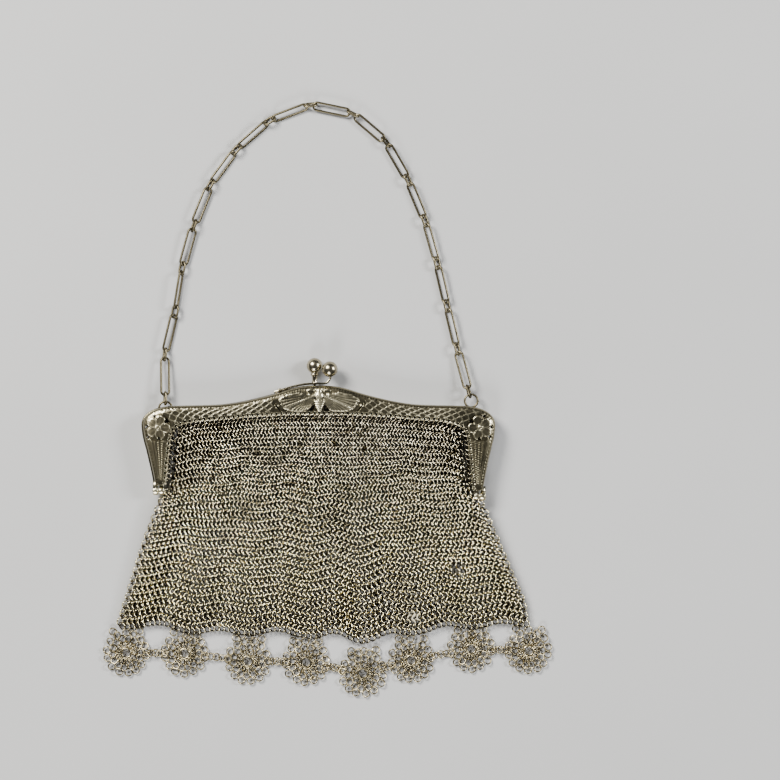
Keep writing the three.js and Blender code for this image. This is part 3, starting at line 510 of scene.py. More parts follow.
def even_stations(count):
    """Evenly spaced smooth stations, and each one's distance along the frame from the arch's middle."""
    rows = frame_rows()
    where = np.linspace(0, len(rows) - 1, 4000)
    fine = catmull(rows, where)
    steps = (np.linalg.norm(np.diff(fine[:, :2], axis=0), axis=1)
             + np.linalg.norm(np.diff(fine[:, 2:], axis=0), axis=1)) / 2
    run = np.concatenate([[0], np.cumsum(steps)])
    chosen = np.interp(np.linspace(0, run[-1], count), run, where)
    stations = catmull(rows, chosen)
    middle = np.interp((len(rows) - 1) / 2, where, run)
    return stations[:, :2], stations[:, 2:], np.linspace(0, run[-1], count) - middle


def ridge(distance, half):
    """A soft line of height 1 where distance is 0."""
    return np.exp(-((distance / half) ** 2))


def leaf_net(along, across, band):
    """Thin lines, from 0 to 1, that wave along the band and meet round staggered leaf-shaped cells."""
    tall = band / LEAF_ROWS
    wave = np.sin(2 * np.pi * along / LEAF_LENGTH + LEAF_SHIFT * across)
    net = np.zeros_like(along)
    for k in range(LEAF_ROWS + 1):
        line = k + LEAF_WAVE * wave * (-1) ** k
        net = np.maximum(net, ridge((across * LEAF_ROWS - line) * tall, LEAF_LINE))
    return net * smoothstep(-0.12, 0, across) * smoothstep(1.12, 1, across)


def flower(x, y):
    """Height of the five-petalled flower in each corner, how bright it is rubbed, and where it reaches."""
    dx, dy = np.abs(x) - FLOWER_ACROSS, y - FLOWER_UP
    reach = np.hypot(dx, dy)
    raised, shine = np.zeros_like(x), 0.1 * smoothstep(5.4, 4.8, reach)
    for petal in range(PETALS):
        angle = np.radians(FIRST_PETAL + 360 / PETALS * petal)
        out = dx * np.cos(angle) + dy * np.sin(angle) - PETAL_REACH
        aside = -dx * np.sin(angle) + dy * np.cos(angle)
        share = np.sqrt((out / PETAL_LENGTH) ** 2 + (aside / (PETAL_WIDTH + 0.2 * out)) ** 2)
        rim, vein = ridge(share - 0.9, 0.08), ridge(aside, 0.2)
        inside = smoothstep(1.05, 0.98, share)
        raised = np.maximum(raised, (0.16 + 0.08 * rim + 0.03 * vein) * inside)
        shine = np.maximum(shine, (0.17 + 0.6 * rim + 0.08 * vein) * inside)
    boss = 0.5 * dome(reach / 1.2) - 0.25 * dome(reach / 0.55)
    collar = ridge(reach - 1.45, 0.24)
    border = ridge(reach - BORDER_REACH, 0.26)
    raised = np.maximum.reduce([raised, boss, 0.26 * collar, 0.05 * border])
    shine = np.maximum.reduce([shine, boss, 0.4 * collar, 0.04 * border])
    return raised, shine, smoothstep(5.8, 5.1, reach)


def moth(x, y):
    """Height of the moth at the middle of the arch, how bright it is rubbed, and where it reaches.

    It has spread ribbed wings, a striped abdomen and a scaly back.
    """
    side = np.abs(x)
    dx, dy = side - WING_ROOT[0], y - WING_ROOT[1]
    reach = np.hypot(dx, dy)
    angle = np.degrees(np.arctan2(dy, dx))
    limit = np.interp(angle, WING_REACH[:, 0], WING_REACH[:, 1])
    fan = smoothstep(1.02, 0.98, reach / limit) * smoothstep(-72, -69, angle) * smoothstep(9.5, 7.5, angle)
    ribs = ridge(np.sin(np.pi * angle / RIB_ANGLE), 0.5) * smoothstep(0.8, 3, reach)
    hem = 0.8 * ridge(reach - 0.955 * limit, 0.24)
    seam = 1.2 * ridge((angle - LAP_ANGLE) * np.radians(1) * reach, 0.25)
    lines = np.maximum.reduce([ribs, hem, seam])
    lap = np.where(angle > LAP_ANGLE, 0.12, 0.04)
    wings = fan * (0.06 + lap + 0.15 * lines)
    wing_shine = fan * (0.17 + 0.75 * lines) * np.where(x < 0, 0.75, 1.15)
    half = 2.15 * np.clip((y - 30.6) / 4.6, 0, 1) ** 0.62 * (y < 35.9)
    abdomen = 0.62 * dome(side / np.maximum(half, 1e-3))
    abdomen += 0.12 * (abdomen > 0) * np.cos(2 * np.pi * y / 0.8)
    back = 0.66 * dome(side / 1.75, (y - 37.5) / 2.0)
    back += 0.08 * (back > 0) * np.cos(2 * np.pi * x / 0.9) * np.cos(2 * np.pi * y / 0.9)
    head = 0.6 * dome(side / 1.1, (y - 39.9) / 0.75)
    eyes = 0.62 * dome((side - 1.2) / 0.55, (y - 40.1) / 0.55)
    pads = 0.45 * dome((side - 3.4) / 1.5, (y - 40.1) / 0.6)
    knob = 0.45 * dome((side - 16.9) / 0.8, (y - 33.6) / 0.8)
    body = np.maximum.reduce([abdomen, back, head, eyes, pads, knob])
    body_shine = smoothstep(0.1, 0.7, body)
    shine = np.where(body > wings, body_shine, np.maximum(wing_shine, 0.13))
    return np.maximum(wings, body), shine, smoothstep(19, 17.6, side)


def relief(x, y, t, width, along):
    """Height of the stamped ornament at places on the frame's face, and how bright it is rubbed there.

    t is the distance from the inner edge, width the frame's width there, and along the run from the middle.
    """
    band = width - BAND_FROM - BAND_TO
    across = (t - BAND_FROM) / band
    from_rim = width - t
    in_leg = smoothstep(20.2, 18.8, y) * (np.abs(x) > 50)

    net = leaf_net(np.abs(along), across, band)
    flowers, flower_shine, in_flower = flower(x, y)
    moths, moth_shine, in_moth = moth(x, y)
    clear = smoothstep(1.0, 2.6, y - LEFT_LEG_SHORT * (x < 0))
    flutes = ridge(np.sin(np.pi * 5 * across), 0.5) * clear
    zigzag = np.cos(2 * np.pi * y / 0.9 + np.pi * np.round(across * 5)) * (across < 0.55) * clear
    free = (1 - in_flower) * (1 - in_moth)

    raised = (0.05 + 0.09 * net) * free * (1 - in_leg) + (0.06 + 0.1 * flutes + 0.04 * zigzag) * in_leg
    shine = (0.15 + 1.05 * net) * free * (1 - in_leg) + (0.12 + 0.09 * flutes + 0.06 * zigzag) * in_leg
    raised = np.maximum.reduce([raised, flowers * in_flower, moths * in_moth])
    shine = np.maximum.reduce([shine, flower_shine * in_flower, moth_shine * in_moth])

    milling = ridge(from_rim - 1.05, 0.24) * (0.5 + 0.5 * np.cos(2 * np.pi * along / 1.15))
    groove = ridge(from_rim - 1.6, 0.2)
    line = ridge(from_rim - 1.9, 0.15)
    plain = (1 - in_leg) * (1 - in_moth * (y > 34.5))
    inner = smoothstep(0.9, 1.4, from_rim)
    height = np.maximum(raised * inner, 0.08 * line * plain) + 0.08 * milling - 0.08 * groove * plain
    return height, np.maximum(shine * inner, 0.25 * line * plain) + 0.16 * milling


def from_hole(run):
    """Distance along the inner edge from the middle of the nearest hole."""
    return (run / HOLE_PITCH % 1 - 0.5) * HOLE_PITCH


def hole_sides(run):
    """How far from the inner edge a round hole begins and ends at each station."""
    half = HOLE_RADIUS * np.sqrt(np.clip(1 - (from_hole(run) / HOLE_RADIUS) ** 2, 0.2, 1))
    return (HOLE_FROM_EDGE - half)[:, None], (HOLE_FROM_EDGE + half)[:, None]


def shell_faces(count, sides, edge_run):
    """Faces of the channel's grid of points, with the round holes cut out and walled."""
    (t1, t2), (b2, b1) = (1, 2), (sides - 3, sides - 2)
    middle_of_cell = (edge_run[1:] + edge_run[:-1]) / 2
    is_hole = np.abs(from_hole(middle_of_cell)) < HOLE_RADIUS
    is_hole[:PLAIN_END_STATIONS] = is_hole[-PLAIN_END_STATIONS:] = False
    quads = grid_quads(count, sides, close_columns=True).reshape(count - 1, sides, 4)
    keep = np.ones((count - 1, sides), bool)
    keep[is_hole, t1] = False
    keep[is_hole, b2] = False
    walls = []
    for i in np.flatnonzero(is_hole):
        a, b = i * sides, (i + 1) * sides
        walls.append((a + t1, b + t1, b + b1, a + b1))
        walls.append((b + t2, a + t2, a + b2, b + b2))
        if not is_hole[i - 1]:
            walls.append((a + t2, a + t1, a + b1, a + b2))
        if not is_hole[i + 1]:
            walls.append((b + t1, b + t2, b + b2, b + b1))
    return [quads[keep], np.array(walls)] + end_fans(count, sides)


def frame_shell(stations, fit, hole_start):
    """One frame half as a stamped channel, with its face up from the parting plane.

    fit scales the relief, and hole_start moves the row of holes along the edge. Gives the part, the runs of
    the holes along the inner edge, and the run of each station.
    """
    outer, inner, along = stations
    count = len(along)
    width = np.linalg.norm(outer - inner, axis=1)[:, None]
    way = (outer - inner) / width
    band = width - FOOT

    plateau = BAND_FROM + (FOOT + 0.6 * band - BAND_FROM) * np.linspace(0, 1, PLATEAU_STEPS)
    roll = np.linspace(0, np.pi / 2, ROLL_STEPS + 1)[None, 1:]
    ones = np.ones((count, 1))
    edge_run = hole_start + np.concatenate([[0], np.cumsum(np.linalg.norm(np.diff(inner, axis=0), axis=1))])
    hole_low, hole_high = hole_sides(edge_run)
    flange = np.hstack([0 * ones, hole_low, hole_high, FLANGE * ones])
    top_t = np.hstack([flange, plateau, FOOT + band * (0.6 + 0.4 * np.sin(roll))])
    flange_top = FLANGE_TOP + FLANGE_LIFT
    half_rise = HALF_DEPTH / 2
    top_h = np.hstack([
        ones * np.full((1, 4), flange_top),
        flange_top + (HALF_DEPTH - flange_top) * smoothstep(BAND_FROM, BAND_FROM + 1, plateau),
        ones * (half_rise + half_rise * np.cos(roll)),
    ])
    x = inner[:, :1] + way[:, :1] * top_t
    y = inner[:, 1:] + way[:, 1:] * top_t
    on_face = smoothstep(FLANGE, BAND_FROM + 0.2, top_t)
    height, shine = relief(x, y, top_t, width, along[:, None] * np.ones_like(x))
    height = height * on_face
    lean = np.zeros_like(x)
    lean[:, -ROLL_STEPS:] = np.sin(roll) ** 2
    raise_by = (height * fit - RELIEF_DEEP * (1 - fit) * on_face - 0.05)
    top_t = top_t + raise_by * lean
    top_h = top_h + raise_by * np.sqrt(1 - lean**2)

    wall = width - SHEET
    roof = HALF_DEPTH - SHEET - RELIEF_DEEP * (1 - fit)
    flange_low = flange_top - SHEET
    low_t = np.hstack([width, wall, wall, FOOT + 0.6 * band, FOOT + 0.15 * band, ones * FLANGE,
                       hole_high, hole_low, ones * 0])
    station = np.arange(count)
    end_wall = (station < END_WALL_STATIONS) | (station >= count - END_WALL_STATIONS)
    low_h = ones * np.array([[0, 0, half_rise, roof, roof, flange_low, flange_low, flange_low, flange_low]])
    low_h[end_wall] = 0

    t = np.hstack([top_t, low_t])
    h = np.hstack([top_h, low_h])
    points = np.stack([inner[:, :1] + way[:, :1] * t, inner[:, 1:] + way[:, 1:] * t, h], -1)
    on_rim = smoothstep(0.2, 1, lean) * 0.25
    # The channel's inside faces, seen through the holes, are darkened as painted shade
    worn_and_shaded = np.hstack([np.clip(shine * on_face + on_rim, 0.05, 1), np.full(low_t.shape, INSIDE_SHADE)])
    worn_and_shaded[:, :flange.shape[1]] = FLANGE_WEAR

    faces = shell_faces(count, points.shape[1], edge_run)
    flat = np.vstack([points.reshape(-1, 3), points[0].mean(0), points[-1].mean(0)])
    hole_runs = np.arange(HOLE_PITCH * 1.5, edge_run[-1] - HOLE_PITCH, HOLE_PITCH)
    return outward(part(flat, faces, np.append(worn_and_shaded.reshape(-1), [0.3, 0.3]))), hole_runs, edge_run


def prism(outline, low, high):
    """A straight-sided body over an outline, from one height to another."""
    ring = np.asarray(outline, float)
    rings = [np.column_stack([ring, np.full(len(ring), z)]) for z in (low, high)]
    return loft(rings)


def piercings():
    """Cutters for the gaps between the petals and round the moth."""
    low, high = -1.0, HALF_DEPTH + 2
    turn = np.linspace(0, 2 * np.pi, 12, endpoint=False)
    cutters = []
    for sign in (-1, 1):
        for angle, reach, size in FLOWER_GAPS:
            a = np.radians(angle)
            middle = np.array([np.cos(a), np.sin(a)]) * reach * FLOWER_RADIUS
            radius = 0.82 * size * (1 + 0.3 * np.cos(3 * (turn - a + np.pi)))
            outline = middle + np.column_stack([np.cos(turn), np.sin(turn)]) * radius[:, None]
            outline += (FLOWER_ACROSS, FLOWER_UP)
            cutters.append(prism(outline * (sign, 1), low, high))
        for corners in MOTH_GAPS:
            cutters.append(prism(np.array(corners) * (sign, 1), low, high))
    return cutters


def pierce(piece, cutters):
    """Cuts the gaps through a frame half; new points take the wear and painted shade of their nearest old
    point.
    """
    mesh = piece.data
    count = len(mesh.vertices)
    tree = KDTree(count)
    for vertex in mesh.vertices:
        tree.insert(vertex.co, vertex.index)
    tree.balance()
    old = np.zeros(count, np.float32)
    mesh.attributes["wear_and_shade"].data.foreach_get("value", old)
    cutter = add_piece(piece.name + "_cutter", cutters, FRAME_METAL)
    modifier = piece.modifiers.new("gaps", "BOOLEAN")
    modifier.operation, modifier.solver, modifier.object = "DIFFERENCE", "EXACT", cutter
    graph = bpy.context.evaluated_depsgraph_get()
    cut = bpy.data.meshes.new_from_object(piece.evaluated_get(graph))
    piece.modifiers.clear()
    piece.data = cut
    bpy.data.objects.remove(cutter)
    if "wear_and_shade" in cut.attributes:
        cut.attributes.remove(cut.attributes["wear_and_shade"])
    worn_and_shaded = cut.attributes.new("wear_and_shade", "FLOAT", "POINT")
    worn_and_shaded.data.foreach_set("value", [old[tree.find(vertex.co)[1]] for vertex in cut.vertices])


def leg_end(side):
    """Height of the left leg's end for side -1, and of the right one's for side 1."""
    return LEFT_LEG_SHORT if side < 0 else 0


def knuckle(side, outer, low):
    """A hinge barrel with rounded ends and the lug that carries it."""
    outwards = (1 if outer else -1) * (KNUCKLE_LENGTH + CLEARANCE) / 2
    middle = side * (HINGE_ACROSS + outwards)
    axis_y = leg_end(side) - HINGE_DROP
    half, r = KNUCKLE_LENGTH / 2, KNUCKLE_RADIUS
    bore = PIN_RADIUS + 0.02
    profile = mirrored([(bore, half), (r - 0.3, half), (r - 0.08, half - 0.1), (r, half - 0.32)])
    barrel = lathe(profile, 28, (middle, axis_y, PARTING), (1, 0, 0), (0, 1, 0), wear_and_shade=0.85)
    top = leg_end(side) + 1.6
    upwards = -1 if low else 1
    rise = (r - CLEARANCE) * upwards
    base = PARTING + upwards * CLEARANCE / 2
    outline = [(middle - half, axis_y), (middle + half, axis_y), (middle + half, top), (middle - half, top)]
    lug = prism(outline, base, base + rise)
    return [barrel, lug]


def place_half(piece, low):
    """A frame half at its own height, turned over for the back."""
    points = piece["points"].copy()
    if low:
        points[:, 2] = HALF_DEPTH - points[:, 2]
        points[:, 0] -= FRAME_SHIFT
    else:
        points[:, 2] += FRONT_BASE
    return outward({**piece, "points": points})


def bail(x, y):
    """A ring on the back half's rim that carries an end of the chain."""
    middle = (x - FRAME_SHIFT, y, HALF_DEPTH - CHAIN_WIRE / 2)
    line = BAIL_RADIUS - CHAIN_WIRE / 2
    return ring_field([middle], [(1, 0, 0)], [(0, 1, 0)], line, CHAIN_WIRE, 40, 12, wear_and_shade=0.6)


def edge_coil(inner, edge_run, runs, low):
    """Wire loops through the flange's holes, which carry the first row of the mail."""
    x, y = (np.interp(runs, edge_run, inner[:, k]) for k in (0, 1))
    ahead = [np.interp(runs + 0.5, edge_run, inner[:, k]) for k in (0, 1)]
    way = unit(np.column_stack([ahead[0] - x, ahead[1] - y, np.zeros_like(x)]))
    across = np.column_stack([-way[:, 1], way[:, 0], np.zeros_like(x)])
    lean = np.radians(24)
    right = unit(across * np.cos(lean) + way * np.sin(lean))
    flange_middle = FLANGE_TOP + FLANGE_LIFT - SHEET / 2
    z = COIL_LINE + RING_WIRE / 2 + SETTLE if low else FRONT_BASE + flange_middle
    centres = np.column_stack([x, y, np.full_like(x, z)]) - across * 0.4
    if low:
        centres[:, 0] -= FRAME_SHIFT
    up = np.tile([0.0, 0.0, 1.0], (len(x), 1))
    worn_and_shaded = random.uniform(0.1, 0.5, len(x))
    return ring_field(centres, right, up, COIL_LINE, RING_WIRE, 14, 6, wear_and_shade=worn_and_shaded)


def make_frame():
    cutters = piercings()
    coils = []
    halves = (
        ("frame_front", "front_frame", False, 1.0, STATIONS, 0),
        ("frame_back", "back_frame", True, BACK_RELIEF, BACK_STATIONS, HOLE_PITCH / 2),
    )
    for name, node, low, fit, count, hole_start in halves:
        stations = even_stations(count)
        shell, runs, edge_run = frame_shell(stations, fit, hole_start)
        piece = add_piece(name, [place_half(shell, low)], FRAME_METAL, [node])
        pierce(piece, [place_half(cutter, low) for cutter in cutters])
        coils.append(edge_coil(stations[1], edge_run, runs, low))
    front = knuckle(-1, True, False) + knuckle(1, False, False)
    back = knuckle(-1, False, True) + knuckle(1, True, True)
    add_piece("front_knuckles", front, FRAME_METAL)
    add_piece("back_knuckles", back, FRAME_METAL)
    add_piece("bails", [bail(x, y) for x, y in BAILS], CHAIN_METAL)
    add_piece("edge_coils", coils, MESH_METAL)
    for side, node in ((-1, "hinge_pin_left"), (1, "hinge_pin_right")):
        reach, r = KNUCKLE_LENGTH + CLEARANCE / 2, PIN_RADIUS
        profile = mirrored([
            (0, reach + 0.3), (r * 0.6, reach + 0.24), (r * 0.95, reach + 0.05), (r, reach - 0.1),
        ])
        middle = (side * HINGE_ACROSS, leg_end(side) - HINGE_DROP, PARTING)
        pin = lathe(profile, 20, middle, (1, 0, 0), (0, 1, 0), wear_and_shade=0.6)
        add_piece(node + "_domed", [pin], CHAIN_METAL, [node])


# Clasp

POST_HEIGHT = 7.6
ARM_THICK = 0.95
ARM_WIDE = 1.8
ARM_STEPS = 60


def arch_top(x):
    """Height of the frame's outer edge over a place across."""
    share = np.abs(x) / FRAME_HALF_WIDTH
    return np.interp(share, FRAME_STATIONS[:12, 0], FRAME_STATIONS[:12, 1]) * FRAME_RISE


def ball_profile(start_radius, ball_at, steps):
    """A ball's profile from where its neck ends to its far tip."""
    start = np.arcsin(start_radius / BALL_RADIUS)
    angles = np.linspace(start, np.pi, steps)
    profile = [(np.sin(a) * BALL_RADIUS, ball_at - np.cos(a) * BALL_RADIUS) for a in angles]
    return profile[:-1] + [(0, ball_at + BALL_RADIUS)]


def squared_off(value):
    """Turns a circle's cosine or sine into that of a square with round corners."""
    return np.sign(value) * np.abs(value) ** 0.55


def make_post():
    """The post on the back half's rim, with its ball."""
    seat = arch_top(POST_X) + CLEARANCE
    ball_at = seat + POST_HEIGHT
    neck_at = ball_at - BALL_RADIUS
    profile = [(0, seat - 2.6), (0.5, seat - 2.6), (0.5, seat), (1.2, seat), (1.25, seat + 0.25),
               (1.1, seat + 0.8), (1.0, seat + 1.6), (1.05, neck_at - 1.2), (1.2, neck_at - 0.8),
               (1.55, neck_at - 0.62), (1.65, neck_at - 0.4), (1.55, neck_at - 0.15), (1.4, neck_at + 0.05)]
    profile += ball_profile(1.35, ball_at, 22)
    post = lathe(profile, 36, (POST_X, 0, HALF_DEPTH - TENON_DEPTH), (0, 1, 0), (1, 0, 0), wear_and_shade=0.7)
    add_piece("post_and_ball", [post], BALL_METAL, ["clasp_post_ball"])


def make_arm():
    """The spring arm on the front half's rim, with its ball and its rivet."""
    lift = CLEARANCE + ARM_THICK / 2
    run = [(x, arch_top(x) + lift) for x in (-18, -14.5, -10.5, -6, -1.5)]
    run += [(2.4, FRAME_RISE + lift), (4, FRAME_RISE + lift + 1.3), (4.7, FRAME_RISE + lift + 3.4)]
    run = np.array(run)
    smooth = catmull(run, np.linspace(0, len(run) - 1, ARM_STEPS))
    way = unit(np.gradient(smooth, axis=0))
    side = np.column_stack([-way[:, 1], way[:, 0]])
    middle_z = FRONT_BASE + TENON_DEPTH
    turn = np.linspace(0, 2 * np.pi, 16, endpoint=False)
    taper = smoothstep(0, 0.08, np.linspace(0, 1, ARM_STEPS)) * 0.5 + 0.5
    rings = []
    for place, across, size in zip(smooth, side, taper):
        a = squared_off(np.cos(turn)) * ARM_THICK / 2
        b = squared_off(np.sin(turn)) * ARM_WIDE / 2 * size
        rings.append(np.column_stack([place + across * a[:, None], middle_z + b]))
    arm = loft(rings, wear_and_shade=0.6)
    centre = (run[-1, 0] - 0.5, run[-1, 1] + 2.2, middle_z + 0.6)
    ball = lathe(ball_profile(0, 0, 26), 36, centre, (0, 1, 0), (1, 0, 0), wear_and_shade=0.7)
    top = arch_top(RIVET_X) + CLEARANCE + ARM_THICK
    head = [(0, top - 3), (0.5, top - 3), (0.5, top - 0.05), (0.95, top), (0.9, top + 0.2),
            (0.5, top + 0.36), (0, top + 0.4)]
    rivet = lathe(head, 20, (RIVET_X, 0, middle_z), (0, 1, 0), (1, 0, 0), wear_and_shade=0.7)
    add_piece("arm_and_ball", [arm, ball, rivet], BALL_METAL, ["clasp_arm_ball"])


# Carrying chain

LINK_WIRE = CHAIN_WIRE + 0.08


def node_frame(node):
    """Middle, length axis, width axis, length and width of a link's solid, in mm of the drawing."""
    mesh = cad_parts[node].data
    co = np.zeros(len(mesh.vertices) * 3, np.float32)
    mesh.vertices.foreach_get("co", co)
    co = (co.reshape(-1, 3).astype(float) - ORIGIN) / MM
    axes = np.linalg.eigh(np.cov((co - co.mean(0)).T))[1]
    along, across = axes[:, 2], axes[:, 1]
    middle = co.mean(0)
    spans = []
    for axis in (along, across):
        reach = co @ axis
        spans.append(np.ptp(reach))
        middle = middle + axis * ((reach.max() + reach.min()) / 2 - middle @ axis)
    return middle, along, across, *spans


def make_chain():
    for kind, count in (("small", 17), ("long", 16)):
        for i in range(1, count + 1):
            node = f"chain_{kind}_link_{i}"
            middle, along, across, length, width = node_frame(node)
            wire = wire_loop(middle, along, across, length, width, LINK_WIRE, 14, 12)
            wire["wear_and_shade"] = np.full(len(wire["points"]), random.uniform(0.35, 0.85))
            add_piece(f"{kind}_link_{i}", [wire], CHAIN_METAL, [node])


# Pouch of ring mail

ROWS = 46
COLUMNS = 80
MAIL_WIRE = 0.56
MAIL_LINE = 1.5

# How far a ring's middle lies inside the pouch's skin, and inside its side and upper edges
MAIL_SKIN = 1.12
MAIL_HEM = 1.1

# How far the bottom edge rises between two rosettes
SCALLOP_RISE = 2.0

# How steeply a ring rises out of the mail, and how far its rise is turned up from the row, in degrees:
# near the frame, and how much less at the bottom
STEEP, STEEP_LESS = 55, 9
TURN, TURN_LESS = 27, 4

# How far a ring strays from its place
STRAY = (0.05, 0.05, 0.04)

# The middle of the stretched spot
STRETCHED = np.array([54.8, -32.0])

# Share of FRAME_RISE up to which the pouch follows the inside of the legs
CORNER_SHARE = 0.6

# Height of the pouch's underside at its mouth
LAY = PARTING - POUCH_MOUTH / 2


def leg_inside(y, sign):
    """Half width of the pouch between the legs."""
    level = np.minimum(y / FRAME_RISE, CORNER_SHARE)
    table = FRAME_STATIONS[::-1]
    edge = np.interp(level, table[:, 3], table[:, 2]) * FRAME_HALF_WIDTH
    return edge - 3 * CLEARANCE - (FRAME_SHIFT if sign > 0 else 0)


def side_edge(sign):
    """A function for the pouch's half width at a height, by the inside of the leg or by its own side."""
    y = np.linspace(-1.1 * POUCH_HEIGHT, FRAME_RISE, 500)
    column = 1 if sign < 0 else 2
    free = np.interp(-y / POUCH_HEIGHT, POUCH_SIDES[:, 0], POUCH_SIDES[:, column]) * POUCH_HALF_WIDTH
    return smooth_table(y, np.where(y > LEFT_LEG_SHORT, leg_inside(y, sign), free), 3.0)


left_side, right_side = side_edge(-1), side_edge(1)
mouth = smooth_table(FRAME_STATIONS[:12, 2], FRAME_STATIONS[:12, 3], 0.03)
bottom = smooth_table(POUCH_EDGE[:, 0], POUCH_EDGE[:, 1], 0.06)


def scallop(x):
    """Share of the bottom edge's rise: 1 half way between two rosettes and 0 over each one."""
    centres = np.array([row[0] for row in ROSETTES])
    place = np.interp(x, centres, np.arange(len(centres)))
    return np.sin(np.pi * (place % 1)) ** 2 * (x > centres[0]) * (x < centres[-1])


def pouch_point(u, v, front):
    """A place in the middle of the mail: u from -1 to 1 across, v from the mouth down to the bottom edge."""
    reach = np.where(u < 0, left_side(20.0), right_side(20.0))
    top = mouth(np.minimum(np.abs(u) * reach, 55.5) / FRAME_HALF_WIDTH) * FRAME_RISE - MAIL_HEM
    low_x = u * POUCH_HALF_WIDTH * 0.96
    low = -POUCH_HEIGHT * bottom(low_x / POUCH_HALF_WIDTH) + 0.7 + SCALLOP_RISE * scallop(low_x)
    y = top + (low - top) * v
    half = np.where(u < 0, left_side(y), right_side(y)) - MAIL_HEM
    x = u * half
    belly = POUCH_MOUTH + 0.9 * np.sin(np.pi * np.minimum(v / 0.5, 1))
    thick = belly + (POUCH_FOOT - belly) * np.maximum(v - 0.12, 0) / 0.88
    rim = 1 - 0.4 * np.abs(u) ** 8 * np.minimum(v * 5, 1)
    base = LAY + (SETTLE - LAY) * np.minimum(v / 0.14, 1)
    ripple = 0.3 * np.sin(u * 11 + v * 2) * np.sin(v * 5 + u * 2) * np.minimum(v * 4, 1)
    middle = base + thick / 2
    if front:
        z = middle + thick / 2 * rim + ripple - MAIL_SKIN
    else:
        z = middle - thick / 2 * rim + MAIL_SKIN
    return np.stack([x, y, np.maximum(z, MAIL_SKIN)], -1)


def mail(front, segments, sides, row_range):
    """Ring mail in the four-in-one weave: each ring hangs on two above it and leans against its neighbours.

    The rings stand steeper near the frame, where the mail is drawn together, and lie flatter lower down.
    """
    grids = np.meshgrid(np.arange(*row_range), np.arange(COLUMNS), indexing="ij")
    rows, columns = (grid.ravel() for grid in grids)
    odd = rows % 2 == 1
    u = (columns + 0.5 + np.where(odd, 0.25, -0.25)) / COLUMNS * 2 - 1
    v = (rows + 0.5) / ROWS
    u_wave = u + 0.006 * np.sin(v * 13 + u * 4) * (1 - u**2)
    inner_rows = np.sin(v * np.pi)
    v_wave = v + 0.007 * np.sin(u * 5 + 1.2) * inner_rows + 0.004 * np.sin(u * 17 + v * 6) * inner_rows
    here = pouch_point(u_wave, v_wave, front)
    step = 0.004
    across = unit(pouch_point(u_wave + step, v_wave, front) - pouch_point(u_wave - step, v_wave, front))
    down = pouch_point(u_wave, v_wave + step, front) - pouch_point(u_wave, v_wave - step, front)
    face = unit(np.cross(down, across))
    up = unit(np.cross(face, across))
    count = len(u)
    jitter = random.normal(size=(count, 2))
    way = np.where(odd, 1, -1)
    steep = np.radians(STEEP - STEEP_LESS * smoothstep(0.1, 0.8, v) + 3 * jitter[:, 0])[:, None]
    turn = np.radians(TURN - TURN_LESS * smoothstep(0.2, 0.9, v) + 4 * jitter[:, 1])[:, None]
    climb = across * way[:, None] * np.cos(turn) + up * np.sin(turn)
    right = climb * np.cos(steep) + face * np.sin(steep) * (1 if front else -1)
    up = up * np.cos(turn) - across * way[:, None] * np.sin(turn)
    here = here + random.normal(size=(count, 3)) * STRAY

    # Rows on the upper right are drawn together in pairs
    drawn = smoothstep(28, 38, here[:, 0]) * smoothstep(60, 50, here[:, 0]) * smoothstep(-14, -4, here[:, 1])
    here[:, 1] += 0.2 * way * drawn

    # Rings round the stretched spot are pushed away from it
    gap = here[:, :2] - STRETCHED
    away = np.linalg.norm(gap, axis=1, keepdims=True)
    here[:, :2] += gap / np.maximum(away, 0.3) * 1.3 * np.exp(-((away / 3.6) ** 2)) * np.minimum(away, 1)

    # No ring reaches below the floor
    reach_down = MAIL_LINE * np.hypot(right[:, 2], up[:, 2]) + MAIL_WIRE / 2
    here[:, 2] = np.maximum(here[:, 2], reach_down)
    # The rings are darker towards the frame
    worn_and_shaded = np.clip(random.normal(0.85, 0.2, count) - 0.35 * smoothstep(0.75, 0.0, v), 0, 1)
    # Each ring keeps its outer stretch rubbed bright, and the stretch under its neighbours is darkened as
    # painted shade
    return ring_field(here, right, up, MAIL_LINE, MAIL_WIRE, segments, sides, worn_and_shaded, 1 if front else -1)


def make_pouch():
    half = ROWS // 2
    for name, row_range in (("mail_front_upper", (0, half)), ("mail_front_lower", (half, ROWS))):
        add_piece(name, [mail(True, 10, 4, row_range)], MESH_METAL, ["mesh_pouch"])
    add_piece("mail_back", [mail(False, 8, 3, (0, ROWS))], MESH_METAL, ["mesh_pouch"])


# Fringe

FRINGE_WIRE = 0.6

# How far a rosette's outer rings reach past its solid
ROSETTE_PAST_SOLID = 0.9

# A rosette's heavy centre ring, and the rings on edge round it
CENTRE_LINE, CENTRE_WIRE = 1.95, 0.9
SPOKES, SPOKE_REACH, SPOKE_LINE, SPOKE_TILT = 19, 3.2, 1.25, 72

# Rings in each outer row of a rosette, and places across of the three that hang it
ROW_RINGS = 14
HANGERS = (-4.9, 0.2, 5.1)

# Places across between which the mail's bottom edge is read
EDGE_FROM, EDGE_TO = -79, 82


def flat_ring(x, y, z, tilt_way, tilt, line=RING_LINE, wire=FRINGE_WIRE):
    """One ring that lies flat but for a tilt about a level line in the direction tilt_way."""
    a, b = np.radians(tilt_way), np.radians(tilt)
    right = (np.cos(a), np.sin(a), 0)
    up = (-np.sin(a) * np.cos(b), np.cos(a) * np.cos(b), np.sin(b))
    z = max(z, line * abs(up[2]) + wire / 2)
    return ring_field([(x, y, z)], [right], [up], line, wire, 20, 7, wear_and_shade=random.uniform(0.3, 1))


def mail_edge(x):
    """Height of the mail's bottom edge at a place across."""
    u = np.clip(x, EDGE_FROM, EDGE_TO) / (POUCH_HALF_WIDTH * 0.965)
    return pouch_point(np.array([u]), np.array([1.0]), True)[0, 1] - 1.0


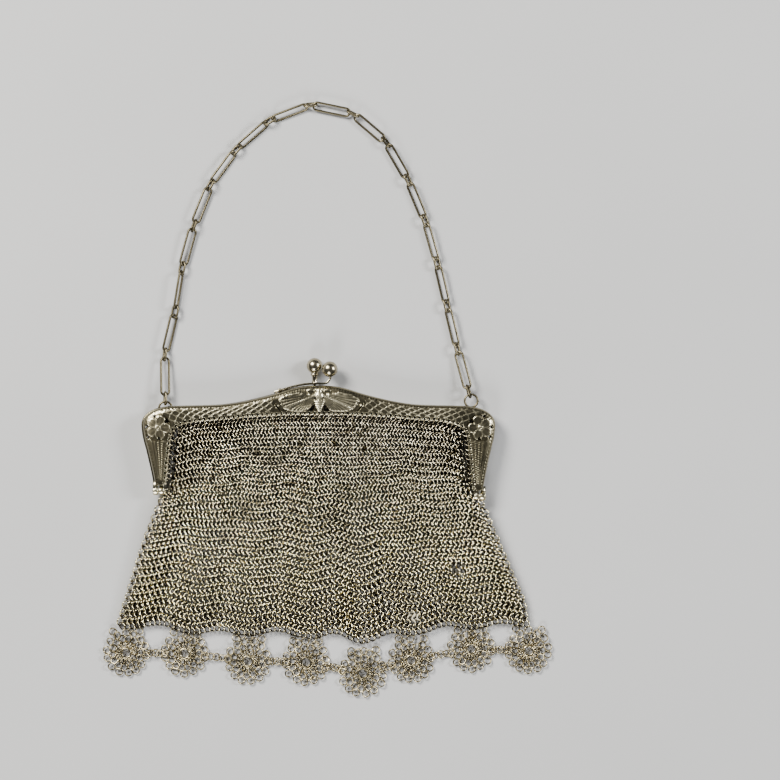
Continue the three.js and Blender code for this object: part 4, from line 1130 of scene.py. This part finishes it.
def rosette_rings(index):
    """A heavy centre ring, rings on edge round it, three that hang it, and two rows of flat rings."""
    x, y, radius, turn = ROSETTES[index]
    radius += ROSETTE_PAST_SOLID
    parts = [flat_ring(x, y, 2.3, 0, 3, line=CENTRE_LINE, wire=CENTRE_WIRE)]
    for i in range(SPOKES):
        a = turn + 360 * i / SPOKES + random.normal(0, 3)
        reach = SPOKE_REACH + random.normal(0, 0.06)
        place = (x + np.cos(np.radians(a)) * reach, y + np.sin(np.radians(a)) * reach)
        tilt = random.normal(SPOKE_TILT, 4)
        parts.append(flat_ring(*place, 1.5, a, tilt, line=SPOKE_LINE, wire=RING_WIRE))
    hangers = []
    for side in HANGERS:
        far = min(mail_edge(x + side) - 0.6, y + radius - 0.9)
        hangers.append((x + side + random.normal(0, 0.3), far + random.normal(0, 0.2)))
    for i, place in enumerate(hangers):
        parts.append(flat_ring(*place, 1.25 + 0.3 * (i % 2), random.uniform(0, 180), random.normal(14, 6)))
    for row, (reach, lift, lean) in enumerate(((radius - 3.9, 1.2, 20), (radius - 1.75, 1.0, -13))):
        for i in range(ROW_RINGS):
            a = turn + 360 * (i + 0.5 * row) / ROW_RINGS + random.normal(0, 1.6)
            far = reach + random.normal(0, 0.14)
            px, py = x + np.cos(np.radians(a)) * far, y + np.sin(np.radians(a)) * far
            crowded = min(np.hypot(px - hx, py - hy) for hx, hy in hangers) < 1.7
            if row and (crowded or py > mail_edge(px) - 0.9):
                continue
            parts.append(flat_ring(px, py, lift, a, lean + random.normal(0, 6)))
    return parts


def joining_rings(index):
    """The rings that join a rosette to the next one."""
    (*a, ra, _), (*b, rb, _) = ROSETTES[index:index + 2]
    run = np.subtract(b, a)
    length = np.linalg.norm(run)
    way = run / length
    heading = np.degrees(np.arctan2(way[1], way[0]))
    gap = length - ra - rb - 2 * ROSETTE_PAST_SOLID
    middle = a + way * (ra + ROSETTE_PAST_SOLID + gap / 2)
    parts = [flat_ring(*middle, 1.0, heading, random.normal(0, 5))]
    spread = gap / 2 + RING_WIDTH / 2
    steps = max(int(np.ceil(spread / (RING_WIDTH - 1.6 * FRINGE_WIRE))), 1)
    for sign in (1, -1):
        for k in range(1, steps + 1):
            place = middle + way * sign * spread * k / steps
            tilt = (34 if k % 2 else -8) * sign + random.normal(0, 5)
            parts.append(flat_ring(*place, 1.3 if k % 2 else 1.05, heading + 90 * (k % 2 == 0), tilt))
    return parts


def make_fringe():
    rosettes = len(ROSETTES)
    kinds = (("rosette", "fringe_rosette", rosette_rings, rosettes),
             ("joining_rings", "fringe_link", joining_rings, rosettes - 1))
    for name, node, rings, count in kinds:
        for i in range(count):
            add_piece(f"{name}_{i + 1}", rings(i), FRINGE_METAL, [f"{node}_{i + 1}"])


# Stage

# Width of the view and its middle from the drawing's origin, by the photo's 780 pixels of 0.4 mm
PIXEL = 0.4
VIEW_WIDTH = 780 * PIXEL * MM
VIEW_MIDDLE = (28.2, 40.0)
CAMERA_HEIGHT = 1.6
FLOOR_REACH = 3.0


def make_stage():
    shader = Shader("pale_floor")
    tone = shader.spread(shader.noise(6.0), 0.3, 0.7)
    shader.join(shader.mix(tone, rgb(0.42, 0.42, 0.415), rgb(0.45, 0.45, 0.445)), "Base Color")
    shader.surface.inputs["Roughness"].default_value = 0.7
    mesh = bpy.data.meshes.new("floor")
    corners = [(x * FLOOR_REACH, y * FLOOR_REACH, 0) for x, y in ((-1, -1), (1, -1), (1, 1), (-1, 1))]
    mesh.from_pydata(corners, [], [(0, 1, 2, 3)])
    mesh.materials.append(shader.material)
    floor = bpy.data.objects.new("floor", mesh)
    bpy.context.scene.collection.objects.link(floor)


def add_light(name, place, size, power, colour=(1, 1, 1)):
    data = bpy.data.lights.new(name, "AREA")
    data.size, data.energy, data.color = size, power, colour
    light = bpy.data.objects.new(name, data)
    light.location = place
    light.rotation_euler = (-Vector(place)).to_track_quat("-Z", "Y").to_euler()
    bpy.context.scene.collection.objects.link(light)


def make_lights():
    world = bpy.data.worlds.new("studio")
    world.use_nodes = True
    sky = world.node_tree.nodes["Background"]
    sky.inputs[0].default_value = rgb(0.9, 0.93, 1.0)
    sky.inputs[1].default_value = 0.06
    bpy.context.scene.world = world
    add_light("key", (-0.7, 0.65, 0.9), 0.5, 40.0, (1.0, 0.98, 0.94))
    add_light("side", (0.95, 0.25, 0.65), 0.3, 16.0, (0.97, 0.98, 1.0))
    add_light("low", (-0.2, -0.95, 0.6), 0.35, 11.0)


def make_camera():
    """A camera with a long lens straight above the purse."""
    data = bpy.data.cameras.new("camera")
    data.sensor_width = 36.0
    data.lens = data.sensor_width * CAMERA_HEIGHT / VIEW_WIDTH
    data.clip_end = 20.0
    camera = bpy.data.objects.new("camera", data)
    camera.location = (ORIGIN[0] + VIEW_MIDDLE[0] * MM, ORIGIN[1] + VIEW_MIDDLE[1] * MM, CAMERA_HEIGHT)
    bpy.context.scene.collection.objects.link(camera)
    bpy.context.scene.camera = camera


make_camera()
make_stage()
make_lights()
make_frame()
make_post()
make_arm()
make_chain()
make_pouch()
make_fringe()
